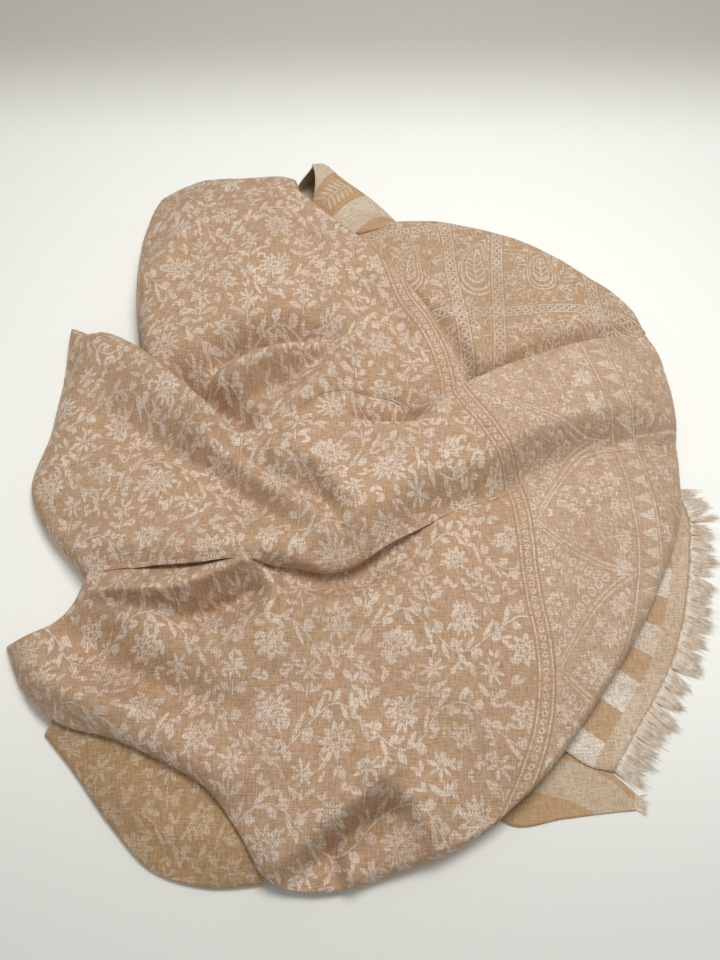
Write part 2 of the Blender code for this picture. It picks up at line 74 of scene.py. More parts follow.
# Soft folds: a line through three points, its height at each of them (a trough's is negative), the width of its
# slope on the left and on the right of the line, and how sharp its crest is, from 1 for a crease to 2 for a bell.
# They go by the stretch that they shape. The finer ones are deeper and sharper than the solids', or left out of them.
Fold = namedtuple("Fold", "x1 y1 x2 y2 x3 y3 start middle end left right crest")
FOLDS = {
    "fringed_end": {
        "end_wave": Fold(205, -200, 262, -120, 285, -30, 0.6, 0.5, 0.4, 14, 14, 2),
    },
    "lower_left_layer": {
        "under_ridge": Fold(-200, -270, -140, -292, -90, -306, 2, 3, 2, 16, 14, 1.8),
    },
    "top_right_panel": {
        "back_rise": Fold(60, 130, 120, 98, 250, 140, 3, 3, 1, 46, 36, 2),
        "back_pleat": Fold(100, 102, 176, 144, 296, 190, -21, -16, -9, 10, 24, 1.7),
        "dome_foot": Fold(40, 234, 84, 182, 114, 118, -9, -14, -21, 10, 22, 1.8),
    },
    "dome_stretch": {
        "dome_shoulder": Fold(-215, 215, -170, 340, -60, 335, 8, 7, 6, 22, 30, 2),
        "dome_trough": Fold(-174, 96, -130, 137, -32, 150, -18, -33, -22, 15, 14, 1.7),
        "dome_fold": Fold(-160, 90, -98, 114, -20, 140, 2, 4, 4, 18, 22, 1.8),
        "notch": Fold(-150, 72, -105, 58, -20, 82, -4, -3, -3, 30, 30, 2),
        "dome_edge": Fold(-20, 262, 45, 200, 90, 130, 6, 6, 4, 30, 20, 2),
        "dome_crease": Fold(-166, 92, -130, 132, -30, 146, -4, -8, -4, 7, 7, 1.3),
        "dome_crest": Fold(-146, 84, -93, 112, -14, 134, 7, 16, 10, 10, 13, 1.5),
        "pocket_side": Fold(-10, 74, 28, 66, 60, 66, -4, -14, -16, 24, 14, 1.8),
        "dome_cleft": Fold(-116, 76, -76, 96, -30, 126, -8, -17, -11, 10, 10, 1.5),
        "notch_pit": Fold(-182, 118, -147, 84, -114, 60, -10, -30, -24, 14, 24, 1.7),
        "dome_cusp": Fold(-100, 60, -50, 80, -10, 120, 5, 9, 6, 11, 12, 1.6),
        "shoulder_line": Fold(-222, 224, -172, 292, -60, 318, 3, 6, 4, 10, 16, 1.5),
        "long_trough": Fold(-50, 216, 0, 200, 46, 150, -4, -8, -6, 16, 14, 1.7),
        "dome_drape": Fold(-120, 300, -60, 240, 10, 212, 0, 2.4, 1, 22, 16, 1.8),
    },
    "front_panel": {
        "under_lip": Fold(-240, -74, -100, -86, 50, -50, 0, -4, -6, 40, 30, 2),
        "lip_hollow": Fold(-70, -98, -20, -105, 46, -74, -6, -20, -8, 24, 15, 1.8),
        "behind_lip": Fold(60, -46, 170, 6, 300, 50, -3, -4, -3, 44, 30, 2),
        "left_trough": Fold(-235, -150, -180, -190, -120, -215, -6, -8, -4, 34, 24, 2),
        "left_ridge": Fold(-290, -160, -215, -212, -112, -262, 9, 15, 14, 28, 15, 1.8),
        "hood": Fold(-74, -330, -20, -290, 14, -262, 9, 23, 17, 36, 8, 1.7),
        "hood_front": Fold(-40, -322, -4, -294, 30, -281, -9, -24, -12, 8, 12, 1.7),
        "hood_bulge": Fold(-14, -302, -8, -320, -3, -340, 3, 10, 6, 8, 7, 1.7),
        "front_ridge": Fold(-60, -140, 10, -118, 90, -110, 4, 5, 2, 30, 40, 2),
        "second_lip": Fold(-222, -110, -160, -116, -98, -92, 5, 23, 20, 18, 5, 1.8),
        "hook_hollow": Fold(-160, -131, -124, -123, -96, -109, -9, -25, -20, 6, 19, 1.7),
        "hook_ridge": Fold(-86, -90, -71, -108, -78, -148, 8, 9, 2, 5, 13, 1.8),
        "hook_crease": Fold(-66, -100, -64, -118, -72, -146, -4, -7, -2, 8, 5, 1.5),
        "front_swell": Fold(-69, -156, -41, -132, -10, -118, 3, 5, 2, 10, 14, 1.7),
        "left_valley": Fold(-268, -130, -222, -160, -110, -212, -8, -20, -9, 22, 15, 1.8),
        "left_crest": Fold(-272, -186, -199, -203, -90, -222, 4, 8, 4, 9, 12, 1.6),
        "hood_crease": Fold(-26, -300, -21, -314, -15, -334, -9, -9, -5, 5, 4, 1.2),
        "hood_tail": Fold(16, -262, 40, -278, 56, -306, 14, 13, 5, 24, 8, 1.7),
        "valley_line": Fold(50, -48, 180, 20, 325, 66, -4, -6, -5, 24, 24, 1.6),
        "right_crease": Fold(180, -44, 250, -16, 304, 2, 0, -3, -4, 12, 9, 1.4),
        "right_pleat": Fold(190, 24, 250, 34, 312, 56, 0, 3, 4, 7, 9, 1.4),
    },
    "rolled_fold": {
        "roll": Fold(30, 6, 160, 66, 318, 138, 24, 32, 32, 80, 82, 1.9),
        "wing_ridge": Fold(-296, 182, -200, 112, -118, 42, 22, 24, 17, 26, 36, 1.8),
        "wing_trough": Fold(-240, 70, -142, 8, -40, -74, -9, -21, -10, 18, 21, 1.7),
        "wing_side": Fold(-270, 150, -280, 60, -285, -10, 6, 5, 4, 20, 24, 2),
        "lip": Fold(-215, -82, -110, -80, 25, -58, 14, 20, 14, 28, 20, 2),
        "bridge": Fold(-62, 60, -60, 10, -36, -30, 6, 7, 3, 22, 30, 2),
        "pocket": Fold(-12, 64, 20, 59, 44, 58, -13, -38, -43, 18, 11, 1.8),
        "pocket_crease": Fold(-10, 66, 20, 62, 52, 64, -2, -7, -5, 6, 6, 1.2),
        "inner_valley": Fold(-128, 28, -67, -13, -18, -44, -6, -14, -9, 10, 11, 1.4),
        "inner_fold": Fold(-152, 34, -100, -2, -36, -52, 5, 12, 8, 11, 11, 1.6),
        "sharp_crease": Fold(-51, -5, -33, -30, -11, -76, -5, -11, -6, 6, 8, 1.3),
        "crease_rise": Fold(-38, 4, -20, -24, 6, -56, 6, 9, 3, 10, 12, 1.5),
        "pinch_one": Fold(-96, 30, -84, 6, -78, -14, -1, -3, -2, 5, 5, 1.4),
        "pinch_two": Fold(-82, 32, -72, 8, -66, -8, 2, 3, 1, 5, 5, 1.5),
        "bridge_crest": Fold(-50, 95, -62, 40, -28, -36, 7, 9, 3, 30, 14, 1.6),
    },
}

# Slack of the cloth: long low waves, each with its length, heading in degrees, phase and height
Wave = namedtuple("Wave", "length heading phase height")
SLACK = (
    Wave(118, 24, 0.4, 0.9), Wave(83, 71, 2.1, 0.7), Wave(57, 128, 4.4, 0.42), Wave(44, 9, 1.0, 0.26),
    Wave(36, 98, 5.2, 0.2), Wave(29, 152, 3.3, 0.14),
)


def smooth_run(rows, at):
    """Cubic curve through the rows, read at fractions of its length: each column is a Hermite cubic of the chord
    length with the slopes of its neighbours."""
    rows = np.asarray(rows, float)
    steps = np.hypot(*np.diff(rows[:, :2], axis=0).T)
    place = np.concatenate([[0.0], np.cumsum(steps)]) / steps.sum()
    slope = np.gradient(rows, place, axis=0)
    i = np.clip(np.searchsorted(place, at, side="right") - 1, 0, len(place) - 2)
    span = (place[i + 1] - place[i])[..., None]
    s = (np.asarray(at)[..., None] - place[i][..., None]) / span
    start = (1 + 2 * s) * (1 - s) ** 2 * rows[i] + s * (1 - s) ** 2 * span * slope[i]
    end = s ** 2 * (3 - 2 * s) * rows[i + 1] + s ** 2 * (s - 1) * span * slope[i + 1]
    return start + end


def smooth_step(share):
    """0 to 1 with level ends: 3 s^2 - 2 s^3 of the share, kept within 0 and 1."""
    s = np.clip(share, 0, 1)
    return s * s * (3 - 2 * s)


def rise(names, x, y):
    """Height of the named mounds together: the fourth root of the sum of their fourth powers, where each mound is
    the upper half of an ellipsoid."""
    total = np.zeros_like(x)
    for name in names:
        m = MOUNDS[name]
        reach = ((x - m.x) / m.half_width) ** 2 + ((y - m.y) / m.half_depth) ** 2
        total += (m.height * np.sqrt(np.clip(1 - reach, 0, None))) ** 4
    return total ** 0.25


def line_distance(line, x, y):
    """Signed distance to a line of points, positive on its left, how far along it the nearest place is, from 0 to 1,
    and how squarely it lies beside it, from 1 on the left to -1 on the right, all from the nearest straight piece."""
    nearest = np.full(x.shape, np.inf)
    signed = np.zeros_like(x)
    share = np.zeros_like(x)
    beside = np.zeros_like(x)
    for k, (a, b) in enumerate(zip(line[:-1], line[1:])):
        run = b - a
        along = np.clip(((x - a[0]) * run[0] + (y - a[1]) * run[1]) / (run @ run), 0, 1)
        dx = x - a[0] - along * run[0]
        dy = y - a[1] - along * run[1]
        away = np.hypot(dx, dy)
        closer = away < nearest
        square = (run[0] * dy - run[1] * dx) / (np.hypot(*run) * away + 1e-9)
        signed = np.where(closer, np.where(square > 0, away, -away), signed)
        share = np.where(closer, (k + along) / (len(line) - 1), share)
        beside = np.where(closer, square, beside)
        nearest = np.minimum(nearest, away)
    return signed, share, beside


def fold_height(fold, x, y):
    """Height that a fold adds: exp(-(distance / width) ^ crest) across its line, rounded at the very crest, times
    a height that runs evenly between its three values."""
    line = smooth_run(np.reshape(fold[:6], (3, 2)), np.linspace(0, 1, FOLD_PLACES))
    signed, share, beside = line_distance(line, x, y)
    width = fold.right + (fold.left - fold.right) * (beside + 1) / 2
    late = np.where(share < 0.5, fold.start, fold.end)
    height = fold.middle + (late - fold.middle) * (2 * share - 1) ** 2
    reach = np.sqrt((signed / width) ** 2 + CREST_ROUNDING * max(2 - fold.crest, 0))
    return height * np.exp(-reach ** fold.crest)


def slack(x, y):
    """Sum of the low waves: height * sin(2 pi * run / length + phase), with each run bent a little by the last."""
    height = np.zeros_like(x)
    bend = 0.0
    for wave in SLACK:
        turn = np.radians(wave.heading)
        run = 2 * np.pi * (x * np.cos(turn) + y * np.sin(turn)) / wave.length + wave.phase + bend
        height += wave.height * np.sin(run)
        bend = 0.9 * np.sin(run)
    return height


# ---------------------------------------------------------------- the stretches of cloth

# An edge point is its place, the width of the rounded shoulder there, the radius of the roll under it, and how far
# the edge runs out into the cloth below: 0 for a fold, 1 for a soft valley, and HIDDEN where it goes on under it
Edge = namedtuple("Edge", "x y shoulder roll melt")
HIDDEN = -1.0
# A side is a row of edge points and what it lies on. None there means that the side goes on under another stretch.
Side = namedtuple("Side", "edges lies_on")
# A stretch: the mounds that carry it, its level, how much of the slack it has, and its four sides. The
# front and back sides run from left to right, the left and right sides from front to back.
Stretch = namedtuple("Stretch", "mounds level slack front back left right")


def plain(*places):
    """Side that goes on under another stretch, with no shoulder."""
    return Side([Edge(x, y, 8, 0, 0) for x, y in places], None)


def folded(shoulder, roll, lies_on, *places):
    """Side that is a fold, rounded down to what it lies on. A place may add its own melt, shoulder and roll."""
    usual = (0, 0, 0, shoulder, roll)
    whole = [(*place, *usual[len(place):]) for place in places]
    return Side([Edge(x, y, own_shoulder, own_roll, melt) for x, y, melt, own_shoulder, own_roll in whole], lies_on)


STRETCHES = {
    "fringed_end": Stretch(
        mounds=(), level=3.2, slack=0.15,
        front=plain((163, -232), (186, -247), (205, -251)),
        back=plain((276, 2), (292, 4), (303, 4)),
        left=plain((176, -215), (216, -158), (252, -88), (270, -36)),
        right=plain((232, -214), (262, -173), (291, -107), (303, -62), (309, -26))),
    "end_corner": Stretch(
        mounds=(), level=1.7, slack=0.1,
        front=plain((92, -274), (118, -290), (160, -285), (205, -280), (217, -279)),
        back=plain((147, -232), (180, -240), (205, -254), (220, -268)),
        left=plain((112, -262)), right=plain((219, -275))),
    "lower_left_layer": Stretch(
        mounds=("lower_left",), level=0, slack=0.6,
        front=folded(34, 3, (), (-258, -222), (-231, -249), (-192, -292), (-159, -321), (-114, -333), (-72, -331)),
        back=plain((-238, -192), (-196, -206), (-150, -222), (-98, -258), (-52, -306)),
        left=folded(5, 2, (), (-250, -205)), right=plain((-60, -320))),
    "top_right_panel": Stretch(
        mounds=("back",), level=5, slack=0.8,
        front=plain((76, 66), (110, 66), (160, 88), (216, 114), (256, 134), (276, 151)),
        back=folded(11, 3, (), (-36, 336), (4, 343), (40, 346), (76, 346), (128, 332), (184, 309), (243, 264),
                    (283, 226), (304, 190)),
        left=plain((48, 130), (8, 220), (-30, 285)), right=folded(7, 2, (), (291, 170))),
    "dome_stretch": Stretch(
        mounds=("heap", "dome"), level=0, slack=1,
        front=folded(8, 3, ("rolled_fold",), (-224, 142, HIDDEN), (-172, 90, HIDDEN), (-128, 32, HIDDEN),
                     (-84, 34, HIDDEN), (-54, 58, HIDDEN), (-34, 74, HIDDEN), (-12, 81, HIDDEN), (14, 79, HIDDEN),
                     (36, 75, HIDDEN), (50, 66, HIDDEN), (66, 58, HIDDEN), (90, 58, HIDDEN)),
        back=folded(22, 4, (), (-236, 370), (-210, 394), (-181, 400), (-130, 389), (-88, 393), (-70, 384)),
        left=folded(22, 4, (), (-238, 211), (-244, 296)),
        right=folded(11, 2.5, ("top_right_panel",), (111, 103), (98, 138), (73, 187), (29, 244), (-11, 290),
                     (-58, 338))),
    "front_panel": Stretch(
        mounds=("heap",), level=0, slack=1,
        front=folded(14, 3, ("lower_left_layer",), (-304, -150), (-282, -187, 0, 22), (-244, -215, 0, 30),
                     (-195, -229, 0, 32), (-156, -245, 0, 32), (-119, -265, 0, 28), (-91, -297, 0, 22),
                     (-69, -328, 0, 16), (-22, -336), (28, -324), (79, -305), (106, -288)),
        back=plain((-237, -85), (-180, -72), (-80, -72), (20, -58), (100, 0), (200, 62), (292, 96)),
        left=folded(9, 3, (), (-282, -139), (-252, -116)),
        right=folded(16, 3, ("fringed_end",), (143, -258), (196, -197), (251, -121), (280, -68), (298, -26),
                     (305, 14), (308, 52))),
    "rolled_fold": Stretch(
        mounds=("heap",), level=0, slack=1,
        front=folded(13, 4, ("front_panel",), (-242, -92, 1), (-205, -92, 0.9), (-149, -91, 0.2), (-100, -90),
                     (-60, -92, 0, 13, 7), (-19, -96, 0, 14, 11), (31, -68, 0.6, 14, 10), (81, -38, 1, 13, 6),
                     (128, -22, 1), (181, 11, 1), (234, 30, 1), (308, 34, 1)),
        back=folded(9, 4, ("top_right_panel", "dome_stretch"), (-306, 190), (-256, 166), (-205, 129), (-160, 87),
                    (-130, 56), (-116, 42, 0.3), (-86, 52, 1), (-56, 66, 1), (-34, 80, 1), (-12, 86, 1),
                    (14, 84, 1), (36, 80, 0.8), (56, 74, 0.2), (74, 75), (94, 87), (122, 105),
                    (176, 133), (246, 160), (302, 180)),
        left=folded(12, 4, (), (-296, -32), (-310, -4), (-304, 58), (-304, 127)),
        right=folded(15, 3, (), (311, 78), (311, 110), (309, 150))),
}

# The line where the dome stretch ends on the right, and how far past it the stretch still counts
DOME_END = smooth_run(((92, 60), (111, 103), (98, 138), (73, 187), (29, 244), (-11, 290), (-58, 338)),
                      np.linspace(0, 1, 9))
DOME_END_LAP = 4.0
TURNS = np.radians(np.linspace(0, 90, 12))      # angles round a shoulder, from its rim to its top
ROLL_TURNS = np.radians((18, 36, 54, 72, 90))   # angles round the roll under a rim
TUCKED_RUNS = (3.0, 7.0, 12.0)                  # how far the cloth shows under a rim, mm


def top_of(name, x, y):
    """Height of a stretch's upper face inside its edges: its mounds, its folds and its share of the slack."""
    stretch = STRETCHES[name]
    height = rise(stretch.mounds, x, y) + stretch.level + stretch.slack * slack(x, y)
    for fold in FOLDS.get(name, {}).values():
        height = height + fold_height(fold, x, y)
    return height


def rest_under(side, x, y):
    """Height of what a side lies on: the floor, or the highest of the stretches named by the side."""
    rest = np.full(x.shape, FLOOR_REST + CLOTH)
    for below in side.lies_on or ():
        top = top_of(below, x, y)
        if below == "dome_stretch":
            top = np.where(line_distance(DOME_END, x, y)[0] < -DOME_END_LAP, 0, top)
        rest = np.maximum(rest, top + LAYER_REST + CLOTH)
    return rest


def grid_lines(near, far, lines, near_folded, far_folded):
    """Fractions from the near side to the far one: 1 - cos of the turns round a folded side's shoulder, with even
    lines between the two shoulders."""
    length = np.hypot(*(near - far)[:, :2].T)[:, None]
    turns = [1 - np.cos(TURNS if folds else TURNS[:1]) for folds in (near_folded, far_folded)]
    first = near[:, 2:3] * turns[0] / length
    last = 1 - far[:, 2:3] * turns[1][::-1] / length
    share = np.arange(1, lines + 1) / (lines + 1)
    middle = first[:, -1:] + (last[:, :1] - first[:, -1:]) * share
    return np.concatenate([first, middle, last], axis=1)


def cornered(first, side, last):
    """A left or right side with the two corners that it shares, which take its own shoulder and roll."""
    edges = side.edges
    return [edges[0]._replace(x=first.x, y=first.y), *edges, edges[-1]._replace(x=last.x, y=last.y)]


def patch(stretch):
    """Grid of places between the four sides, as the sum of the two ruled grids less the corners' own grid, with
    each side's edge values and the distance to it."""
    front, back = stretch.front.edges, stretch.back.edges
    corners = (front[0], front[-1], back[0], back[-1])
    left = cornered(corners[0], stretch.left, corners[2])
    right = cornered(corners[1], stretch.right, corners[3])
    ends = np.array([0.0, 1.0])
    folds = [side.lies_on is not None for side in (stretch.left, stretch.right, stretch.front, stretch.back)]
    across = max(np.hypot(*(smooth_run(left, ends) - smooth_run(right, ends))[:, :2].T))
    halfway = np.array([0.5])
    along = np.hypot(*(smooth_run(front, halfway) - smooth_run(back, halfway))[:, :2].T).max()
    along = max(along, LEAST_RUN)
    columns, rows = int(across / STEP), int(along / STEP)
    u_lines = grid_lines(smooth_run(left, ends), smooth_run(right, ends), columns, *folds[:2]).mean(axis=0)
    v_lines = grid_lines(smooth_run(front, ends), smooth_run(back, ends), rows, *folds[2:]).mean(axis=0)
    v = grid_lines(smooth_run(front, u_lines), smooth_run(back, u_lines), rows, *folds[2:])
    u = grid_lines(smooth_run(left, v_lines), smooth_run(right, v_lines), columns, *folds[:2]).T
    f, b, l, r = smooth_run(front, u), smooth_run(back, u), smooth_run(left, v), smooth_run(right, v)
    c = [np.array(corner[:2], float) for corner in corners]
    uu, vv = u[..., None], v[..., None]
    place = (1 - vv) * f[..., :2] + vv * b[..., :2] + (1 - uu) * l[..., :2] + uu * r[..., :2]
    place -= (1 - uu) * ((1 - vv) * c[0] + vv * c[2]) + uu * ((1 - vv) * c[1] + vv * c[3])
    depth = np.hypot(*np.moveaxis(f[..., :2] - b[..., :2], -1, 0))
    breadth = np.hypot(*np.moveaxis(l[..., :2] - r[..., :2], -1, 0))
    reach = {"front": (f, v * depth), "back": (b, (1 - v) * depth),
             "left": (l, u * breadth), "right": (r, (1 - u) * breadth)}
    return place[..., 0], place[..., 1], reach


def draped(name):
    """Upper face of a stretch: its top, run out with level ends into the stretch below where a side melts, and
    let down by a quarter ellipse over each folded side's shoulder to the height of the roll there."""
    stretch = STRETCHES[name]
    x, y, reach = patch(stretch)
    top = top_of(name, x, y)
    for key, (edge, away) in reach.items():
        side = getattr(stretch, key)
        if side.lies_on:
            melt = np.clip(edge[..., 4], 0, 1) * smooth_step(1 - away / MELT_WIDTH)
            below = rest_under(side, x, y) - LAYER_REST - CLOTH - MELT_DIP
            top = top * (1 - melt) + below * melt
            top = top - SUNK_EDGE * np.clip(-edge[..., 4], 0, 1) * smooth_step(1 - away / SUNK_WIDTH)
    drop = np.zeros_like(x)
    for key, (edge, away) in reach.items():
        side = getattr(stretch, key)
        if side.lies_on is None:
            continue
        share = np.clip(1 - away / edge[..., 2], 0, 1)
        bend = 1 - np.sqrt(1 - share ** 2)
        fold = np.clip(1 - np.abs(edge[..., 4]), 0, 1)
        drop = np.maximum(drop, fold * bend * (top - rest_under(side, x, y) - edge[..., 3]))
    return np.stack([x, y, top - drop], axis=-1), reach


def rolled_under(points, cloth, side, edge):
    """Adds the cloth's roll under one folded side. The rim is the grid's first row: a quarter circle of the roll's
    radius leads down and inwards from it, and the cloth then lies on what is below. The cloth coordinates go on
    outwards by the same lengths."""
    inner = min(len(TURNS), len(points) - 1)
    outward = points[0, :, :2] - points[inner, :, :2]
    outward /= np.linalg.norm(outward, axis=-1)[:, None]
    steps = points[:inner, :, :] - points[1:inner + 1, :, :]
    excess = np.linalg.norm(steps, axis=-1) - np.linalg.norm(steps[..., :2], axis=-1)
    beyond = np.concatenate([np.cumsum(excess[::-1], axis=0)[::-1], np.zeros_like(excess[:1])])
    cloth = cloth.copy()
    cloth[:inner + 1] += outward * beyond[..., None]
    lies = np.clip(1 - np.abs(edge[0, :, 4]), LEAST_ROLL, 1)
    radius = edge[0, :, 3] * lies
    rim, rim_cloth = points[0], cloth[0]
    rows, cloth_rows = [], []
    for turn in ROLL_TURNS:
        place = rim[:, :2] - outward * (radius * (1 - np.cos(turn)))[:, None]
        rows.append(np.column_stack([place, rim[:, 2] - radius * np.sin(turn)]))
        cloth_rows.append(rim_cloth + outward * (radius * turn)[:, None])
    for run in TUCKED_RUNS:
        place = rim[:, :2] - outward * (radius + run * lies)[:, None]
        floor = np.minimum(rest_under(side, place[:, 0], place[:, 1]), rows[len(ROLL_TURNS) - 1][:, 2])
        rows.append(np.column_stack([place, floor]))
        cloth_rows.append(rim_cloth + outward * (radius * np.pi / 2 + run * lies)[:, None])
    return np.concatenate([rows[::-1], points]), np.concatenate([cloth_rows[::-1], cloth])


def whole_stretch(name):
    """Points and cloth coordinates of a stretch with the cloth that its folded sides roll under. Each side in turn
    is made the grid's first row."""
    stretch = STRETCHES[name]
    points, reach = draped(name)
    cloth = points[..., :2].copy()
    added = {"left": 0, "right": 0}
    extra = len(ROLL_TURNS) + len(TUCKED_RUNS)
    for key in ("left", "right"):
        side = getattr(stretch, key)
        if side.lies_on is None:
            continue
        flip = slice(None, None, -1) if key == "right" else slice(None)
        edge = reach[key][0][flip]
        points, cloth = (part[flip] for part in rolled_under(points[flip], cloth[flip], side, edge))
        added[key] = extra
    for key in ("front", "back"):
        side = getattr(stretch, key)
        if side.lies_on is None:
            continue
        flip = slice(None, None, -1) if key == "back" else slice(None)
        turned = [np.swapaxes(part, 0, 1)[flip] for part in (points, cloth)]
        edge = np.swapaxes(reach[key][0], 0, 1)[flip]
        edge = np.pad(edge, ((0, 0), (added["left"], added["right"]), (0, 0)), mode="edge")
        points, cloth = (np.swapaxes(part[flip], 0, 1) for part in rolled_under(*turned, side, edge))
    return points, cloth


# ---------------------------------------------------------------- meshes

def linear(hex_colour, alpha=1.0):
    """Linear colour from sRGB hex: (c / 12.92) below 0.04045, else ((c + 0.055) / 1.055) ^ 2.4."""
    parts = np.array([int(hex_colour[i:i + 2], 16) for i in (1, 3, 5)]) / 255
    return (*np.where(parts <= 0.04045, parts / 12.92, ((parts + 0.055) / 1.055) ** 2.4).tolist(), alpha)


def finished_piece(name, points, faces, maps=None):
    """Object at the origin from points in mm on the heap, with its maps as UV maps, in mm of cloth."""
    shifted = (np.asarray(points, float) - (*HEAP_MIDDLE, 0)) * MM
    mesh = bpy.data.meshes.new(name)
    mesh.from_pydata(shifted.tolist(), [], faces if isinstance(faces, list) else faces.tolist())
    for title, values in (maps or {}).items():
        layer = mesh.uv_layers.new(name=title)
        corners = np.empty(len(mesh.loops), dtype=np.int32)
        mesh.loops.foreach_get("vertex_index", corners)
        layer.data.foreach_set("uv", np.asarray(values, np.float32)[corners].ravel())
    mesh.shade_smooth()
    made = bpy.data.objects.new(name, mesh)
    bpy.context.scene.collection.objects.link(made)
    return made


def grid_faces(columns, rows):
    """Quads of a grid of points that is stored a column at a time, facing up."""
    i, j = np.meshgrid(np.arange(columns - 1), np.arange(rows - 1), indexing="ij")
    a = (i * rows + j).ravel()
    return np.column_stack([a, a + rows, a + rows + 1, a + 1])


def shell(name):
    """One stretch of cloth as a thin shell: its surface, with the cloth's thickness below it."""
    points, cloth = whole_stretch(name)
    points[..., 2] = np.maximum(points[..., 2], FLOOR_REST + CLOTH)
    columns, rows = points.shape[:2]
    maps = {"cloth": cloth.reshape(-1, 2), "lines": lines_of(name, cloth[..., 0], cloth[..., 1]).reshape(-1, 2)}
    return with_thickness(finished_piece("cloth_" + name, points.reshape(-1, 3), grid_faces(columns, rows), maps))


def with_thickness(made):
    """Gives a surface the cloth's thickness on its under side."""
    thickness = made.modifiers.new("Thickness", "SOLIDIFY")
    thickness.thickness = CLOTH * MM
    thickness.offset = -1
    return made


# ---------------------------------------------------------------- where the woven borders run

# Each line is a row of places on the cloth. Those that run to the front have their far side on the right.
PALLU_BORDER = ((88, 84), (99, 56), (112, 35), (127, 12), (139, -8), (143, -40), (144, -75), (146, -120),
                (151, -162), (145, -216), (127, -262), (100, -310))
TOOTHED_BORDER = ((226, 150), (230, 105), (240, 68), (251, 38), (256, 0), (257, -36), (255, -74), (249, -105),
                  (238, -142), (218, -190))
DOME_BORDER = ((28, 240), (46, 190), (63, 164), (75, 138), (83, 110), (86, 60))
CORNER_UPRIGHTS = (((92, 345), (97, 300), (98, 255), (107, 171), (114, 80)),
                   ((156, 340), (150, 290), (146, 241), (143, 172), (136, 90)),
                   ((244, 300), (247, 240), (250, 160)))
CORNER_LEVELS = (((-40, 296), (0, 309), (45, 319), (124, 327), (200, 322)),
                 ((50, 196), (73, 198), (145, 197), (241, 203), (310, 184)),
                 ((236, 196), (290, 168), (330, 148)))
FAR_AWAY = 900.0    # distance given where a stretch has no such border, mm


def nearest_line(lines, x, y):
    """Signed distance to the nearest of several lines."""
    found = np.stack([line_distance(smooth_run(line, np.linspace(0, 1, LINE_PLACES)), x, y)[0] for line in lines])
    return np.take_along_axis(found, np.abs(found).argmin(axis=0)[None], axis=0)[0]


def lines_of(name, x, y):
    """The two measures that place a stretch's bands: the distances to its two woven borders, or on the striped end
    the way along the hem and the distance from it."""
    far = np.full(x.shape, -FAR_AWAY)
    if name in ("front_panel", "rolled_fold"):
        return np.stack([nearest_line([PALLU_BORDER], x, y), nearest_line([TOOTHED_BORDER], x, y)], axis=-1)
    if name == "dome_stretch":
        return np.stack([nearest_line([DOME_BORDER], x, y), far], axis=-1)
    if name == "top_right_panel":
        return np.stack([nearest_line(CORNER_UPRIGHTS, x, y), nearest_line(CORNER_LEVELS, x, y)], axis=-1)
    if name == "fringed_end":
        hem = hem_run(name, HEM_PLACES)
        away, share, _ = line_distance(hem, x, y)
        return np.stack([share * np.hypot(*np.diff(hem, axis=0).T).sum(), away], axis=-1)
    if name == "end_corner":
        away = nearest_line([[edge[:2] for edge in STRETCHES[name].back.edges]], x, y)
        return np.stack([-away, np.full(x.shape, FAR_AWAY)], axis=-1)
    return np.stack([far, far], axis=-1)


def hem_run(name, count):
    """Places along a stretch's right edge, from front to back."""
    stretch = STRETCHES[name]
    run = cornered(stretch.front.edges[-1], stretch.right, stretch.back.edges[-1])
    return smooth_run(run, np.linspace(0, 1, count))[:, :2]


# ---------------------------------------------------------------- the turned corner, the fringe and the layers

# Lines of the turned-back corner, from its open end to its tip: its ridge with its height, and its two feet
CORNER_RIDGE = ((-55, 401, 46), (-45, 402, 46), (-20, 385, 37), (16, 362, 25), (46, 343, 9))
CORNER_FRONT = ((-63, 343), (-28, 318), (8, 320), (34, 331), (47, 337))
CORNER_BACK = ((-77, 402), (-54, 420), (-14, 400), (24, 370), (49, 343))
CORNER_LENGTH = 120.0   # along the ridge
CORNER_DEPTH = 62.0     # from the ridge down the front
CORNER_LINES = 56       # lines of its grid from the open end to the tip
FRONT_SHARES = np.linspace(1, 0, 34) ** 1.6     # lines down the front, from its foot to the ridge, closer at the ridge
BACK_SHARES = np.linspace(0, 1, 30)[1:] ** 1.6  # lines down the back, from the ridge to its foot
LAYER_SHARES = np.linspace(0, 1, 14)[1:]        # lines of the lower layer, from the back foot to the front one
FRONT_BEND = 1.7        # how full the front falls, as the power p
BACK_BEND = 1.6
REST_FROM = -66.0       # x where the front foot leaves the floor, and how far it takes to lie on the panel
REST_RUN = 45.0
MOUTH_BOW = 30.0        # the open end bows inwards by this times u (1 - u), so by 7.5 at most
BAND_SLANT = 50.0       # how far the bands run aside on the way down the front
BAND_SCALE = 0.7        # bars count shorter here than along the hem, which makes them 43 mm wide
BAND_START = 7.0        # where the first bar begins, from the open end


